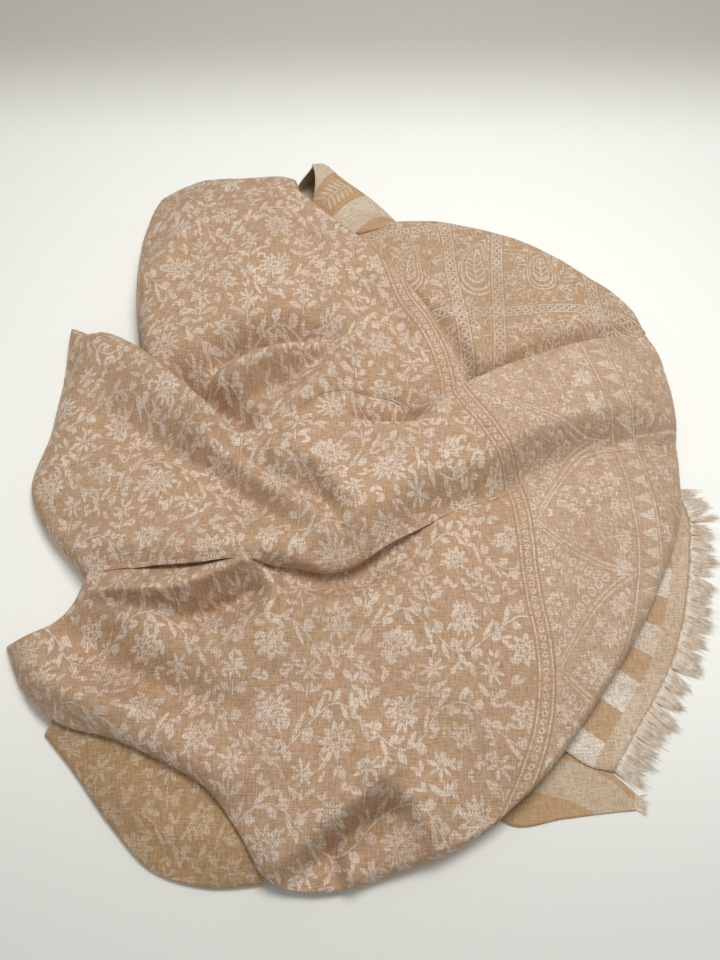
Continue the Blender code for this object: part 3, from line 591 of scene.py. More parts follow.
def turned_corner():
    """Corner of the cloth turned back into a tent that is open on the left, with its lower layer flat inside. Its
    ridge slopes down to the right. On both sides the cloth falls to its foot as (1 - u^p)^(1/p), with u from the
    ridge to the foot, which rounds the ridge. The front foot passes from the floor onto the panel under it."""
    share = np.linspace(0, 1, CORNER_LINES)
    ridge = smooth_run(CORNER_RIDGE, share)
    front, back = smooth_run(CORNER_FRONT, share), smooth_run(CORNER_BACK, share)
    floor = FLOOR_REST + CLOTH
    over = np.maximum(top_of("top_right_panel", front[:, 0], front[:, 1]) + CLOTH, floor)
    front_rest = floor + (over - floor) * smooth_step((front[:, 0] - REST_FROM) / REST_RUN)
    back_rest = np.full(len(share), floor + CLOTH + LAYER_REST)
    falls = []
    for foot, rest, bend, u in ((front, front_rest, FRONT_BEND, FRONT_SHARES),
                                (back, back_rest, BACK_BEND, BACK_SHARES)):
        z = rest[:, None] + (ridge[:, 2] - rest)[:, None] * (1 - u ** bend) ** (1 / bend)
        place = ridge[:, None, :2] * (1 - u[:, None]) + foot[:, None, :2] * u[:, None]
        place[..., 0] += MOUTH_BOW * (u * (1 - u))[None, :] * (1 - share[:, None]) ** 3
        falls.append(np.concatenate([place, z[..., None]], axis=-1))
    inwards = LAYER_SHARES[:, None]
    layer = back[:, None] * (1 - inwards) + front[:, None] * inwards
    falls.append(np.concatenate([layer, np.full((*layer.shape[:2], 1), floor)], axis=-1))
    points = np.concatenate(falls, axis=1)
    turn = np.concatenate([-FRONT_SHARES, BACK_SHARES, 1 + LAYER_SHARES])[None, :]
    run = share[:, None] * CORNER_LENGTH + BAND_SLANT * np.maximum(-turn, 0)
    cloth = np.stack([run, np.broadcast_to(turn * CORNER_DEPTH, run.shape)], axis=-1)
    lines = np.stack([(run - BAND_START) * BAND_SCALE, np.full(run.shape, FAR_AWAY)], axis=-1)
    maps = {"cloth": cloth.reshape(-1, 2), "lines": lines.reshape(-1, 2)}
    made = finished_piece("cloth_back_corner", points.reshape(-1, 3), grid_faces(*run.shape), maps)
    return with_thickness(made)


FRINGE_SEED = 11
FRINGE_OVER = 3.0       # how far the warp ends begin inside the rim, mm
STRAND_RINGS = 7
STRAND_SIDES = 3
STRAND_RADIUS = 0.24
STRAND_REST = 0.75      # height at which a strand lies on the floor
LEAST_GAP = 1e-6        # points closer than this are welded, metres


def fringe(name, edge, strands, length, tuft, level):
    """Loose warp ends along an edge: three-sided tapering strands that leave it outwards over its rim, sink to the
    floor, lean together in tufts with rounded ends and curl. Each strand is root + out * reach * s + along *
    (lean * s + curl * s^2 + a small sine wave), with s from 0 at its root to 1 at its end."""
    rng = np.random.default_rng(FRINGE_SEED)
    rings, sides = STRAND_RINGS, STRAND_SIDES
    share = np.sort(rng.uniform(0, 1, strands))
    root = smooth_run(edge, share)[:, :2]
    ahead = smooth_run(edge, np.clip(share + 0.01, 0, 1))[:, :2] - smooth_run(edge, np.clip(share - 0.01, 0, 1))[:, :2]
    ahead /= np.linalg.norm(ahead, axis=1)[:, None]
    out = np.column_stack([ahead[:, 1], -ahead[:, 0]])
    order = share * np.hypot(*np.diff(np.asarray(edge, float)[:, :2], axis=0).T).sum() / tuft
    group = np.floor(order + 0.25 * np.sin(3 * order)).astype(int)
    middle = order - group - 0.5
    luck = rng.normal(0, 1, (group.max() + 2, 3))[group]
    reach = length * np.clip(1 + 0.13 * luck[:, 0] + rng.normal(0, 0.13, strands), 0.35, 1.45)
    reach = reach * (1 - 0.9 * middle ** 2)
    lean = -middle * tuft * 0.18 + luck[:, 1] * 1.2 + rng.normal(0, 1.2, strands)
    curl = luck[:, 2] * 2.6 + rng.normal(0, 1.8, strands)
    s = np.linspace(0, 1, rings)[None, :, None]
    path = root[:, None] + out[:, None] * ((reach[:, None, None] + FRINGE_OVER) * s - FRINGE_OVER)
    wave = rng.normal(0, 0.5, (strands, 1, 1)) * np.sin(5 * s + rng.uniform(0, 6, (strands, 1, 1)))
    path = path + ahead[:, None] * (lean[:, None, None] * s + curl[:, None, None] * s ** 2 + wave)
    sunk = smooth_step(s * 1.6)
    z = STRAND_REST + (level - STRAND_REST) * (1 - sunk) + np.abs(rng.normal(0, 0.5, (strands, 1, 1))) * s
    angle = np.linspace(0, 2 * np.pi, sides, endpoint=False)[None, None, :]
    radius = STRAND_RADIUS * np.sin(np.pi * np.clip(0.5 + 0.5 * s, 0, 1)) ** 0.5 * np.where((s > 0) & (s < 1), 1, 0)
    points = np.empty((strands, rings, sides, 3))
    points[..., :2] = path[:, :, None, :] + ahead[:, None, None, :] * (radius * np.cos(angle))[..., None]
    points[..., 2] = z + radius * np.sin(angle)
    a, i, j = np.meshgrid(np.arange(strands), np.arange(rings - 1), np.arange(sides), indexing="ij")
    at = (a * rings + i) * sides
    j_next = (j + 1) % sides
    quads = np.stack([at + j, at + j_next, at + sides + j_next, at + sides + j], axis=-1).reshape(-1, 4)
    made = finished_piece(name, points.reshape(-1, 3), quads)
    made.modifiers.new("Ends", "WELD").merge_threshold = LEAST_GAP
    return made


# The layers underneath: the outline of their foot, and their measures in mm
CORE_OUTLINE = ((250, 20), (236, -70), (165, -160), (70, -245), (-40, -258), (-145, -190), (-200, -95), (-240, 10),
                (-215, 84), (-190, 170), (-195, 260), (-165, 335), (-100, 340), (-30, 250), (50, 130), (190, 92))
CORE_LAYERS = 3
LAYER_HEIGHT = 5.5
LAYER_STEP = 6.0        # how far each layer's edge lies inside the one below
LAYER_BULGE = 3.0       # how far a layer's rounded edge stands out
LAYER_RINGS = (0.02, 0.12, 0.3, 0.5, 0.7, 0.88, 0.98)   # shares of a layer's height at which its edge is drawn
STACK_REST = 1.0        # lowest place of the layers above the floor
TOP_SHARES = np.linspace(1, 0.02, 40)           # rings of the top, from its edge to its middle
CORE_CLEARANCE = 9.0    # space left under the cloth over the layers
CORE_SPOKES = 120       # points round a ring
# What lies over the layers, and between which x and which y
COVERS = (("front_panel", -400, 400, -400, 80), ("rolled_fold", -400, 400, -130, 100),
          ("dome_stretch", -400, 125, 5, 420), ("top_right_panel", 20, 400, 40, 420))


def folded_stack():
    """The layers underneath: a rounded heap whose edge steps out layer by layer, each edge rounded as the root of
    a sine of its height, and whose top stays under the cloth over it."""
    closed = [*CORE_OUTLINE[-2:], *CORE_OUTLINE, *CORE_OUTLINE[:3]]
    lengths = np.hypot(*np.diff(np.array(closed, float), axis=0).T)
    start, end = lengths[:2].sum() / lengths.sum(), lengths[:2 + len(CORE_OUTLINE)].sum() / lengths.sum()
    edge = smooth_run(closed, np.linspace(start, end, CORE_SPOKES, endpoint=False))
    middle = edge.mean(axis=0)
    outward = (edge - middle) / np.linalg.norm(edge - middle, axis=1)[:, None]
    rings = []
    for layer in range(CORE_LAYERS):
        for share in LAYER_RINGS:
            out = (CORE_LAYERS - 1 - layer) * LAYER_STEP - LAYER_BULGE + LAYER_BULGE * np.sqrt(np.sin(np.pi * share))
            height = STACK_REST + (layer + share) * LAYER_HEIGHT
            rings.append(np.column_stack([edge + outward * out, np.full(CORE_SPOKES, height)]))
    for share in TOP_SHARES:
        place = middle + (edge - outward * LAYER_BULGE - middle) * share
        top = CORE_LAYERS * LAYER_HEIGHT + rise(("core", "core_dome"), place[:, 0], place[:, 1])
        for name, left, right, front, back in COVERS:
            x, y = place.T
            covered = (x > left) & (x < right) & (y > front) & (y < back)
            top = np.where(covered, np.minimum(top, top_of(name, x, y) - CORE_CLEARANCE), top)
        rings.append(np.column_stack([place, np.maximum(top, STACK_REST)]))
    points = np.stack(rings, axis=1)
    count = points.shape[1]
    faces = grid_faces(CORE_SPOKES + 1, count)
    faces = np.where(faces >= CORE_SPOKES * count, faces - CORE_SPOKES * count, faces)
    caps = [list(range(0, CORE_SPOKES * count, count))[::-1], list(range(count - 1, CORE_SPOKES * count, count))]
    maps = {"cloth": points[..., :2].reshape(-1, 2), "lines": np.full((CORE_SPOKES * count, 2), -FAR_AWAY)}
    return finished_piece("folded_layers", points.reshape(-1, 3), faces.tolist() + caps, maps)


# ---------------------------------------------------------------- the weave and its patterns

def put(what, *inputs, tree=None, **named):
    """Adds a node to the tree of its inputs, or to the one given, and fills its inputs: what is its kind and, after
    a space, its operation, and an operation alone is a Math node's. Inputs go by order or, capitalised, by name, and
    other names are settings. A node stands for its first output."""
    kind, _, operation = ("Math " + what if what.isupper() else what).partition(" ")
    linked = (bpy.types.Node, bpy.types.NodeSocket)
    joined = (value for value in (*inputs, *named.values()) if isinstance(value, linked))
    tree = tree or next(joined).id_data
    node = tree.nodes.new("ShaderNode" + kind)
    if operation:
        node.operation = operation
    for key, value in named.items():
        if key[0].islower():
            setattr(node, key, value)
    filled = list(zip(node.inputs, inputs))
    filled += [(node.inputs[key.replace("_", " ")], value) for key, value in named.items() if key[0].isupper()]
    for socket, value in filled:
        if isinstance(value, bpy.types.Node):
            value = value.outputs[0]
        if isinstance(value, bpy.types.NodeSocket):
            tree.links.new(value, socket)
        elif value is not None:
            socket.default_value = value
    return node


# Motifs are drawn in mm of cloth. Each function gives 1 inside its figure and 0 outside.

def band(distance, inner, outer):
    """1 where the distance is between inner and outer."""
    return put("COMPARE", distance, (inner + outer) / 2, (outer - inner) / 2)


def either(*masks):
    """1 where any of the masks is 1."""
    whole = masks[0]
    for mask in masks[1:]:
        whole = put("MAXIMUM", whole, mask)
    return whole


def without(mask, *taken):
    """1 where the mask is 1 and none of the others is."""
    for other in taken:
        mask = put("SUBTRACT", mask, other, use_clamp=True)
    return mask


def again(place, pitch):
    """Place within a repeat, from minus to plus half the pitch."""
    return put("WRAP", place, pitch / 2, -pitch / 2)


def away_from(x, y):
    """Distance from the origin."""
    return put("VectorMath LENGTH", put("CombineXYZ", x, y)).outputs["Value"]


def leaf(across, along, turn, length, width):
    """Pointed leaf round the origin: t^2 + |n| < 1, with t along it over half its length and n across it over half
    its width, after a turn in degrees."""
    place = put("CombineXYZ", across, along)
    own = put("Mapping", place, None, (0, 0, np.radians(turn)), (length / 2, width / 2, 1),
              vector_type="TEXTURE")
    parts = put("SeparateXYZ", own)
    bulge = put("MULTIPLY", parts.outputs["X"], parts.outputs["X"])
    side = put("ABSOLUTE", parts.outputs["Y"])
    return put("LESS_THAN", put("ADD", bulge, side), 1)


def petal_share(x, y, petals, radius, depth):
    """How far out a place is in a flower head: its distance over the petal edge, which lies at radius * (1 - depth *
    (1 - cos(petals * angle)) / 2)."""
    wave = put("COSINE", put("MULTIPLY", put("ARCTAN2", y, x), petals))
    edge = put("MULTIPLY_ADD", wave, depth / 2, 1 - depth / 2)
    return put("DIVIDE", away_from(x, y), put("MULTIPLY", edge, radius))


def blossom(x, y, petals, radius, depth):
    """Full flower head: petals, a ring of ground inside them, and a heart with an open eye."""
    share = petal_share(x, y, petals, radius, depth)
    return either(band(share, 0.56, 1), band(share, 0.17, 0.43))


def drawn_flower(x, y, petals, radius, depth):
    """Flower head in outline with a small heart."""
    share = petal_share(x, y, petals, radius, depth)
    return either(band(share, 0.78, 1), put("LESS_THAN", share, 0.3))


SCROLL_PITCH = 74.0     # from one scrolling stem to the next, mm
SCROLL_LENGTH = 104.0   # of one wave of the stem
SCROLL_SWING = 17.0     # height of the wave
LEAF_PITCH = 15.0       # from leaf to leaf along the stem
STEM_HALF = 0.8         # half the stem's width
LEAF_SIZE = (56, 13.5, 5.6)     # turn in degrees, length and width of a leaf on the stem
LEAF_OFF = 6.2          # from the stem to a leaf's middle
HEAD_OFF = 9.5          # from the row's middle to a blossom's, on the side away from the stem
HEAD_RADIUS = 12.5      # of the smallest blossom
HEAD_SPREAD = 3.5       # how much larger the largest one is
HEAD_ROOM = 17.5        # radius that the leaves keep clear of a blossom
ROW_SHIFT = 0.73        # how far a row is moved along, for each mm that it lies higher


def scroll_row(x, y):
    """Shares the cloth into rows and gives the place in a row: x moved on from row to row, and y from the row's
    middle."""
    own_y = again(y, SCROLL_PITCH)
    row = put("SUBTRACT", y, own_y)
    own_x = put("MULTIPLY_ADD", row, ROW_SHIFT, x)
    return own_x, own_y, row


def scrolling_stems(x, y):
    """Rows of stems y = swing * sin(2 pi x / length) with leaves on both sides in turn, and in each loop a blossom
    of 6 to 13 petals, whose number and size change from head to head."""
    x, y, row = scroll_row(x, y)
    wave = put("SINE", put("MULTIPLY", x, 2 * np.pi / SCROLL_LENGTH))
    off = put("MULTIPLY_ADD", wave, -SCROLL_SWING, y)
    away = put("ABSOLUTE", off)
    stem = put("LESS_THAN", away, STEM_HALF)
    staggered = put("MULTIPLY_ADD", put("SIGN", off), LEAF_PITCH / 4, x)
    between = again(staggered, LEAF_PITCH)
    leaves = leaf(between, put("SUBTRACT", away, LEAF_OFF), *LEAF_SIZE)
    near = again(put("SUBTRACT", x, SCROLL_LENGTH / 4), SCROLL_LENGTH / 2)
    head_y = put("MULTIPLY_ADD", put("SIGN", wave), HEAD_OFF, y)
    head = put("CombineXYZ", put("SUBTRACT", x, near), row)
    chance = put("TexWhiteNoise", head, noise_dimensions="3D").outputs["Value"]
    petals = put("ROUND", put("MULTIPLY_ADD", chance, 7, 6))
    radius = put("MULTIPLY_ADD", chance, HEAD_SPREAD, HEAD_RADIUS)
    heads = blossom(near, head_y, petals, radius, 0.42)
    clear = put("GREATER_THAN", away_from(near, head_y), HEAD_ROOM)
    return either(stem, put("MULTIPLY", leaves, clear), heads)


def sprigs(x, y):
    """Rows between the stems: a lily of seven long petals on a leafy stalk, again and again."""
    x, y, _ = scroll_row(x, put("ADD", y, SCROLL_PITCH / 2))
    x = again(x, SCROLL_LENGTH / 2)
    x_away = put("ABSOLUTE", x)
    lift = put("SUBTRACT", y, 7)
    lily = band(petal_share(x, lift, 7.0, 11.0, 0.78), 0.25, 1)
    stalk = leaf(x, put("ADD", y, 11), 90, 18, 1.5)
    pairs = leaf(put("SUBTRACT", x_away, 7.0), put("ADD", y, 9), 38, 14, 5.2)
    small = leaf(put("SUBTRACT", x_away, 17.5), put("SUBTRACT", y, 4), 62, 10, 4.4)
    return either(lily, stalk, pairs, small)


def scattered(place, cell, reach, petals):
    """One leaf pair, or with petals a small outlined flower, in each cell of a Voronoi division, turned at random."""
    cells = put("TexVoronoi", Vector=place, Scale=1 / cell, Randomness=0.7, voronoi_dimensions="2D")
    local = put("VectorMath SUBTRACT", place, cells.outputs["Position"])
    turn = put("MULTIPLY", put("SeparateColor", cells.outputs["Color"]), 2 * np.pi)
    turned = put("VectorRotate", local, rotation_type="Z_AXIS", Angle=turn)
    parts = put("SeparateXYZ", turned)
    x, y = parts.outputs["X"], parts.outputs["Y"]
    if petals:
        return drawn_flower(x, y, float(petals), reach, 0.42)
    side = put("ABSOLUTE", y)
    return leaf(x, put("SUBTRACT", side, reach * 0.27), 30, reach, reach * 0.4)


ARCH_HALF = 64          # half the width of a pointed arch of the ornate end, mm
ARCH_RUN = (12, 112)    # where an arch begins and ends, from the first border
ARCH_SKEW = -0.23       # how far the arches lean along the border
ARCH_SHIFT = 50         # where the first of them stands


def pallu(place, line_a, line_b, y):
    """Ornate end between its two borders: pointed arches v = half * (1 - (1 - t)^2) in a double line, with the tip
    at the first border and t along to the second, a row of rosettes outside each arch, and flowers between. Beyond
    them, the toothed border has a line on each side and a row of blossoms before it."""
    skewed = put("MULTIPLY_ADD", line_a, ARCH_SKEW, put("ADD", y, ARCH_SHIFT))
    v = put("ABSOLUTE", again(skewed, 2 * ARCH_HALF))
    rest = put("MapRange", line_a, *ARCH_RUN, 1, 0)
    arch = put("MULTIPLY_ADD", put("MULTIPLY", rest, rest), -ARCH_HALF, ARCH_HALF)
    off = put("MULTIPLY", put("SUBTRACT", v, arch), 0.75)
    double = either(band(off, -0.8, 0.5), band(off, 2.9, 4.0))
    round_arch = again(put("MULTIPLY_ADD", v, 0.8, line_a), 10.5)
    beads = away_from(round_arch, put("SUBTRACT", off, 11.5))
    beads = either(band(beads, 2.2, 4.4), put("LESS_THAN", beads, 0.9))
    clear = put("GREATER_THAN", put("ABSOLUTE", put("SUBTRACT", off, 7)), 11.0)
    fill = either(scattered(place, 25.0, 9.5, 8), scattered(place, 16.0, 8.0, 0))
    arches = either(double, beads, put("MULTIPLY", fill, clear))
    away = put("ABSOLUTE", line_b)
    rails = band(away, 9.8, 11.2)
    tooth = put("ABSOLUTE", again(y, 18))
    teeth = put("LESS_THAN", put("MULTIPLY", tooth, 2.2), put("ADD", line_b, 7))
    teeth = put("MULTIPLY", teeth, put("LESS_THAN", away, 8.2))
    heads = blossom(again(y, 30), put("ADD", line_b, 24), 8.0, 9.0, 0.4)
    open_ground = without(arches, put("LESS_THAN", away, 12.5))
    return either(open_ground, rails, teeth, heads)


VEIL = 0.2              # how much of the pale yarn shows between the figures of the ornate end
FRAY = 2.4              # size of the steps that the threads give a figure's edge, mm, drawn coarser than they are
FRAY_REACH = 1.5        # how far such a step moves the edge
BORDER_HALF = 8.5       # half the width of the beaded border between the field and the ornate end


def wandering(cloth, reach, size):
    """The place on the cloth moved a little by soft noise, so that no row of figures is quite straight, and by fine
    noise, which frays their edges."""
    place = cloth
    for shift_by, length in ((reach, size), (FRAY_REACH, FRAY)):
        noise = put("TexNoise", Vector=cloth, Scale=1 / length, Detail=1.0)
        shift = put("VectorMath SUBTRACT", noise.outputs["Color"], (0.5, 0.5, 0.5))
        place = put("VectorMath MULTIPLY_ADD", shift, (shift_by, shift_by, 0), place)
    return place


def field_figures(cloth, lines):
    """Flowering scrolls over the field, and where the borders run, their lines and beads and the ornate end. Also
    returns how much darker the ground is, which is beside the lines."""
    place = wandering(cloth, 30, 85)
    parts = put("SeparateXYZ", place)
    x, y = parts.outputs["X"], parts.outputs["Y"]
    straight = put("SeparateXYZ", cloth).outputs["Y"]
    measures = put("SeparateXYZ", lines)
    line_a, line_b = measures.outputs["X"], measures.outputs["Y"]
    field = either(scrolling_stems(x, y), sprigs(x, y), scattered(place, 17.0, 8.5, 0))
    field = put("MULTIPLY", field, put("LESS_THAN", line_a, -BORDER_HALF))
    away = put("ABSOLUTE", line_a)
    rails = band(away, 5.0, 6.2)
    bead = away_from(line_a, again(straight, 6.6))
    beads = band(bead, 1.2, 2.4)
    figures = put("MAXIMUM", pallu(place, line_a, line_b, straight), VEIL)
    end = put("MULTIPLY", figures, put("GREATER_THAN", line_a, BORDER_HALF))
    beside = either(band(away, 6.4, 8.0), band(put("ABSOLUTE", line_b), 11.4, 13.0))
    return either(field, rails, beads, end), put("MULTIPLY", beside, 0.5)


def beaded_border(off, along):
    """Pale border with a row of round grounds in it, and the room that it takes."""
    away = put("ABSOLUTE", off)
    bead = away_from(off, again(along, 8.6))
    body = either(band(bead, 2.1, 3.9), band(away, 4.4, 6.0))
    return body, put("LESS_THAN", away, 7.6)


# Middle, width and height of each curled drop on the cloth
BOTEH_PLACES = ((124, 262, 40, 84), (196, 258, 36, 62), (52, 262, 34, 70), (198, 158, 34, 58))


def boteh(place, x, y, width, height):
    """Curled drop with its outline drawn twice and a leaf with slanting veins inside. Its half width is that of an
    ellipse narrowing upwards, with the tip bent aside by the square of the height."""
    own = put("VectorMath SUBTRACT", place, (x, y, 0))
    parts = put("SeparateXYZ", own)
    up = put("DIVIDE", parts.outputs["Y"], height / 2)
    over = put("MAXIMUM", up, 0)
    aside = put("MULTIPLY_ADD", put("MULTIPLY", over, over), -0.34 * width, parts.outputs["X"])
    half = put("MULTIPLY_ADD", up, -0.2 * width, 0.42 * width)
    share = away_from(put("DIVIDE", aside, half), up)
    side = put("ABSOLUTE", aside)
    veins = band(again(put("MULTIPLY_ADD", side, -0.9, parts.outputs["Y"]), 7.5), -0.9, 0.9)
    veins = either(veins, put("LESS_THAN", side, 0.7))
    inner = put("MULTIPLY", veins, put("LESS_THAN", share, 0.52))
    outlines = [band(share, *edges) for edges in ((0.52, 0.58), (0.76, 0.83), (0.93, 1))]
    return either(inner, *outlines), put("LESS_THAN", share, 1.12)


def corner_figures(cloth, lines):
    """Crossing beaded borders, with curled drops, small outlined flowers and curling stems in the open fields
    between them. The stems are level lines of soft noise."""
    place = wandering(cloth, 10, 60)
    parts = put("SeparateXYZ", cloth)
    measures = put("SeparateXYZ", lines)
    upright, room_u = beaded_border(measures.outputs["X"], parts.outputs["Y"])
    level, room_l = beaded_border(measures.outputs["Y"], parts.outputs["X"])
    taken = either(room_u, room_l)
    noise = put("TexNoise", Vector=place, Scale=1 / 22, Detail=0.0).outputs[0]
    fill = either(band(noise, 0.475, 0.495), band(noise, 0.61, 0.625),
                  scattered(place, 27.0, 9.0, 6), scattered(place, 19.0, 7.5, 0))
    drops = [boteh(place, *figures) for figures in BOTEH_PLACES]
    fill = without(fill, *[room for _, room in drops])
    fill = without(either(fill, *[drop for drop, _ in drops]), taken)
    return either(fill, upright, level), put("MULTIPLY", taken, 0.25)


BAR = 30.0          # width of a satin bar and of the ground between two, mm
HEM_PALE = 0.4      # how much of the pale yarn shows in the hem
SPRAY_MIDDLE = (50, -21.5)  # x and y of the spray's middle on the corner's cloth
SPRAY_HALF = 20     # half the length of its stem


def banded_figures(first, hem, spray=False):
    """Returns the drawing of the striped end: pale satin bars a bar apart, from a first one on, up to the plain
    half-pale hem. With a spray, a stem with leaves in pairs stands in the ground between two bars."""
    def draw(cloth, lines):
        measures = put("SeparateXYZ", lines)
        along = put("SUBTRACT", measures.outputs["X"], first)
        bars = put("LESS_THAN", put("ABSOLUTE", put("WRAP", along, BAR, -BAR)), BAR / 2)
        bars = put("MULTIPLY", bars, put("GREATER_THAN", measures.outputs["Y"], hem))
        if spray:
            parts = put("SeparateXYZ", cloth)
            across = put("SUBTRACT", parts.outputs["Y"], SPRAY_MIDDLE[1])
            run = put("SUBTRACT", parts.outputs["X"], SPRAY_MIDDLE[0])
            out = put("ABSOLUTE", run)
            pairs = again(put("MULTIPLY_ADD", out, 0.5, across), 6.4)
            leaves = leaf(put("SUBTRACT", out, 7.2), pairs, 0, 12.5, 3.8)
            stem = put("LESS_THAN", out, STEM_HALF)
            short = put("LESS_THAN", put("ABSOLUTE", across), SPRAY_HALF)
            bars = either(bars, put("MULTIPLY", either(leaves, stem), short))
        edge = put("LESS_THAN", put("ABSOLUTE", measures.outputs["Y"]), hem)
        return either(bars, put("MULTIPLY", edge, HEM_PALE)), 0.0
    return draw


# Pitch of the twill's ribs as drawn, mm: the real ones, judged to be 1 to 1.5 mm apart, are too fine to show
THREAD = 2.5
SLUB_LONG = 9.0         # length of a thicker or thinner stretch of yarn
SLUB_WIDE = 1.25        # its width as drawn
RIB_SLANT = 1.3         # slant of the ribs over the cloth: 2 would be 45 degrees
RIB_WANDER = 9          # how far uneven yarn pushes a rib aside, in radians of its wave
PATCH = 60              # size of the patches in which the figures show more and less, mm


def yarns(cloth, along, across):
    """Uneven yarns side by side: noise drawn out along them."""
    stretched = put("VectorMath MULTIPLY", cloth, (1 / along, 1 / across, 1))
    return put("TexNoise", Vector=stretched, Scale=1.0, Detail=1.5, Roughness=0.6).outputs[0]


def blank_material(name, **finish):
    """New material with its tree and its shader, whose uniform values are set on its own sockets."""
    made = bpy.data.materials.new(name)
    made.use_nodes = True
    shader = made.node_tree.nodes["Principled BSDF"]
    for key, value in finish.items():
        shader.inputs[key.replace("_", " ")].default_value = value
    return made, made.node_tree, shader


def woven(name, draw, ground, ground_light, figure, figure_light):
    """Fine worsted pashmina twill, jacquard-woven in two yarns: matt, with a soft bloom of loose fibre that
    brightens it at grazing angles, faint ribs dotted where warp and weft cross, slubs, and figures whose edges step
    from thread to thread and which fade and return in patches, as the pale yarn floats more or less."""
    made, tree, shader = blank_material(name, Roughness=0.82, Specular_IOR_Level=0.3, Sheen_Weight=0.16,
                                        Sheen_Roughness=0.45, Sheen_Tint=linear("#F3E3CC"))
    cloth = put("UVMap", tree=tree, uv_map="cloth")
    lines = put("UVMap", tree=tree, uv_map="lines")
    weft = yarns(cloth, SLUB_LONG, SLUB_WIDE)
    warp = yarns(cloth, SLUB_WIDE, SLUB_LONG)
    slubs = put("MULTIPLY", put("ADD", weft, warp), 0.5)
    shade = put("MapRange", slubs, 0.37, 0.63, 0, 1)
    one, other = 2 * np.pi / THREAD, RIB_SLANT * np.pi / THREAD
    slant = put("VectorMath DOT_PRODUCT", cloth, (one, other, 0)).outputs["Value"]
    rising = put("VectorMath DOT_PRODUCT", cloth, (-other, one, 0)).outputs["Value"]
    ribs = put("SINE", put("MULTIPLY_ADD", warp, RIB_WANDER, slant))
    steps = put("SINE", put("MULTIPLY_ADD", weft, RIB_WANDER, rising))
    crossings = put("MULTIPLY", ribs, steps)
    mask, beside = draw(cloth, lines)
    ground_mix = put("MixRGB", shade, linear(ground), linear(ground_light))
    ground_mix = put("MixRGB", beside, ground_mix, linear(ground))
    figure_mix = put("MixRGB", shade, linear(figure), linear(figure_light))
    cover = put("MapRange", put("MULTIPLY_ADD", ribs, 0.12, slubs), 0.34, 0.60, 0.3, 0.95)
    patches = put("TexNoise", Vector=cloth, Scale=1 / PATCH, Detail=2.0).outputs[0]
    cover = put("MULTIPLY", cover, put("MapRange", patches, 0.36, 0.6, 0.68, 1.05))
    cloth_colour = put("MixRGB", put("MULTIPLY", mask, cover), ground_mix, figure_mix)
    tone = put("MULTIPLY_ADD", patches, 0.18, 0.875)
    tone = put("MULTIPLY_ADD", crossings, 0.085, put("MULTIPLY_ADD", ribs, 0.03, tone))
    tree.links.new(put("VectorMath MULTIPLY", cloth_colour, tone).outputs[0], shader.inputs["Base Color"])
    height = put("MULTIPLY_ADD", ribs, 0.06, put("MULTIPLY_ADD", mask, 0.12, slubs))
    bump = put("Bump", Strength=0.6, Distance=CLOTH * MM, Height=height)
    tree.links.new(bump.outputs[0], shader.inputs["Normal"])
    return made


TUFT_TONE = 6.25        # size of the lighter and darker places in the fringe, mm


def yarn(name, colour, light):
    """Loose ends of worsted yarn: matt and a little uneven in tone from strand to strand."""
    made, tree, shader = blank_material(name, Roughness=0.85, Sheen_Weight=0.2)
    place = put("TexCoord", tree=tree).outputs["Object"]
    noise = put("TexNoise", Vector=place, Scale=1 / (TUFT_TONE * MM), Detail=2.0)
    share = put("MapRange", noise.outputs[0], 0.35, 0.65, 0, 1)
    mixed = put("MixRGB", share, linear(colour), linear(light))
    tree.links.new(mixed.outputs[0], shader.inputs["Base Color"])
    return made


# ---------------------------------------------------------------- camera, light and floor

CAMERA_TARGET = (-8.2, -32.0, 30.0)     # mm, as the distance
CAMERA_DISTANCE = 720.0
CAMERA_PITCH = 62.0     # degrees below the level
CAMERA_LENS = 29.29
# Places and size in mm from the origin, power in watts
Light = namedtuple("Light", "x y z size power colour")
LIGHTS = {
    "key": Light(150, 165, 1150, 400, 8.9, "#FFFFFF"),
    "fill": Light(-500, 500, 1700, 900, 1.5, "#FFFFFF"),
}
SURROUND = 0.42         # strength of the even light from all sides
FLOOR_REACH = 2500.0    # half the side of the paper on the floor, mm
FLOOR_LINES = 60
# Painted shade on the paper: its colour greys towards the back and darkens a little towards the front
BACK_SHADE_FADE = (0.44, 0.70)        # y between which the paper turns grey at the back, metres
FRONT_SHADE_FADE = (-0.44, -0.12)     # y between which it turns white from the front


def set_camera():
    """Camera on the line that slopes up towards the front at the pitch, at the distance from the target."""
    pitch = np.radians(CAMERA_PITCH)
    data = bpy.data.cameras.new("camera")
    data.lens = CAMERA_LENS
    data.sensor_width = 36.0
    camera = bpy.data.objects.new("camera", data)
    bpy.context.scene.collection.objects.link(camera)
    back = np.array([0.0, -np.cos(pitch), np.sin(pitch)])
    camera.location = ((np.array(CAMERA_TARGET) + back * CAMERA_DISTANCE) * MM).tolist()
    camera.rotation_euler = (np.pi / 2 - pitch, 0, 0)
    bpy.context.scene.camera = camera
    bpy.context.scene.view_settings.view_transform = "Standard"


def set_light():
    """A large soft light high over the heap, a little behind and to the right, a weak one high at the back left,
    and an even surround. Each is turned to the origin."""
    for title, light in LIGHTS.items():
        data = bpy.data.lights.new(title, "AREA")
        data.size = light.size * MM
        data.energy = light.power
        data.color = linear(light.colour)[:3]
        made = bpy.data.objects.new(title, data)
        bpy.context.scene.collection.objects.link(made)
        place = np.array(light[:3], float)
        made.location = (place * MM).tolist()
        made.rotation_euler = (np.arccos(place[2] / np.linalg.norm(place)), 0, np.arctan2(place[0], -place[1]))
    world = bpy.data.worlds.new("studio")
    world.use_nodes = True
    background = world.node_tree.nodes["Background"]
    background.inputs["Color"].default_value = linear("#F6F5F2")
    background.inputs["Strength"].default_value = SURROUND
    bpy.context.scene.world = world


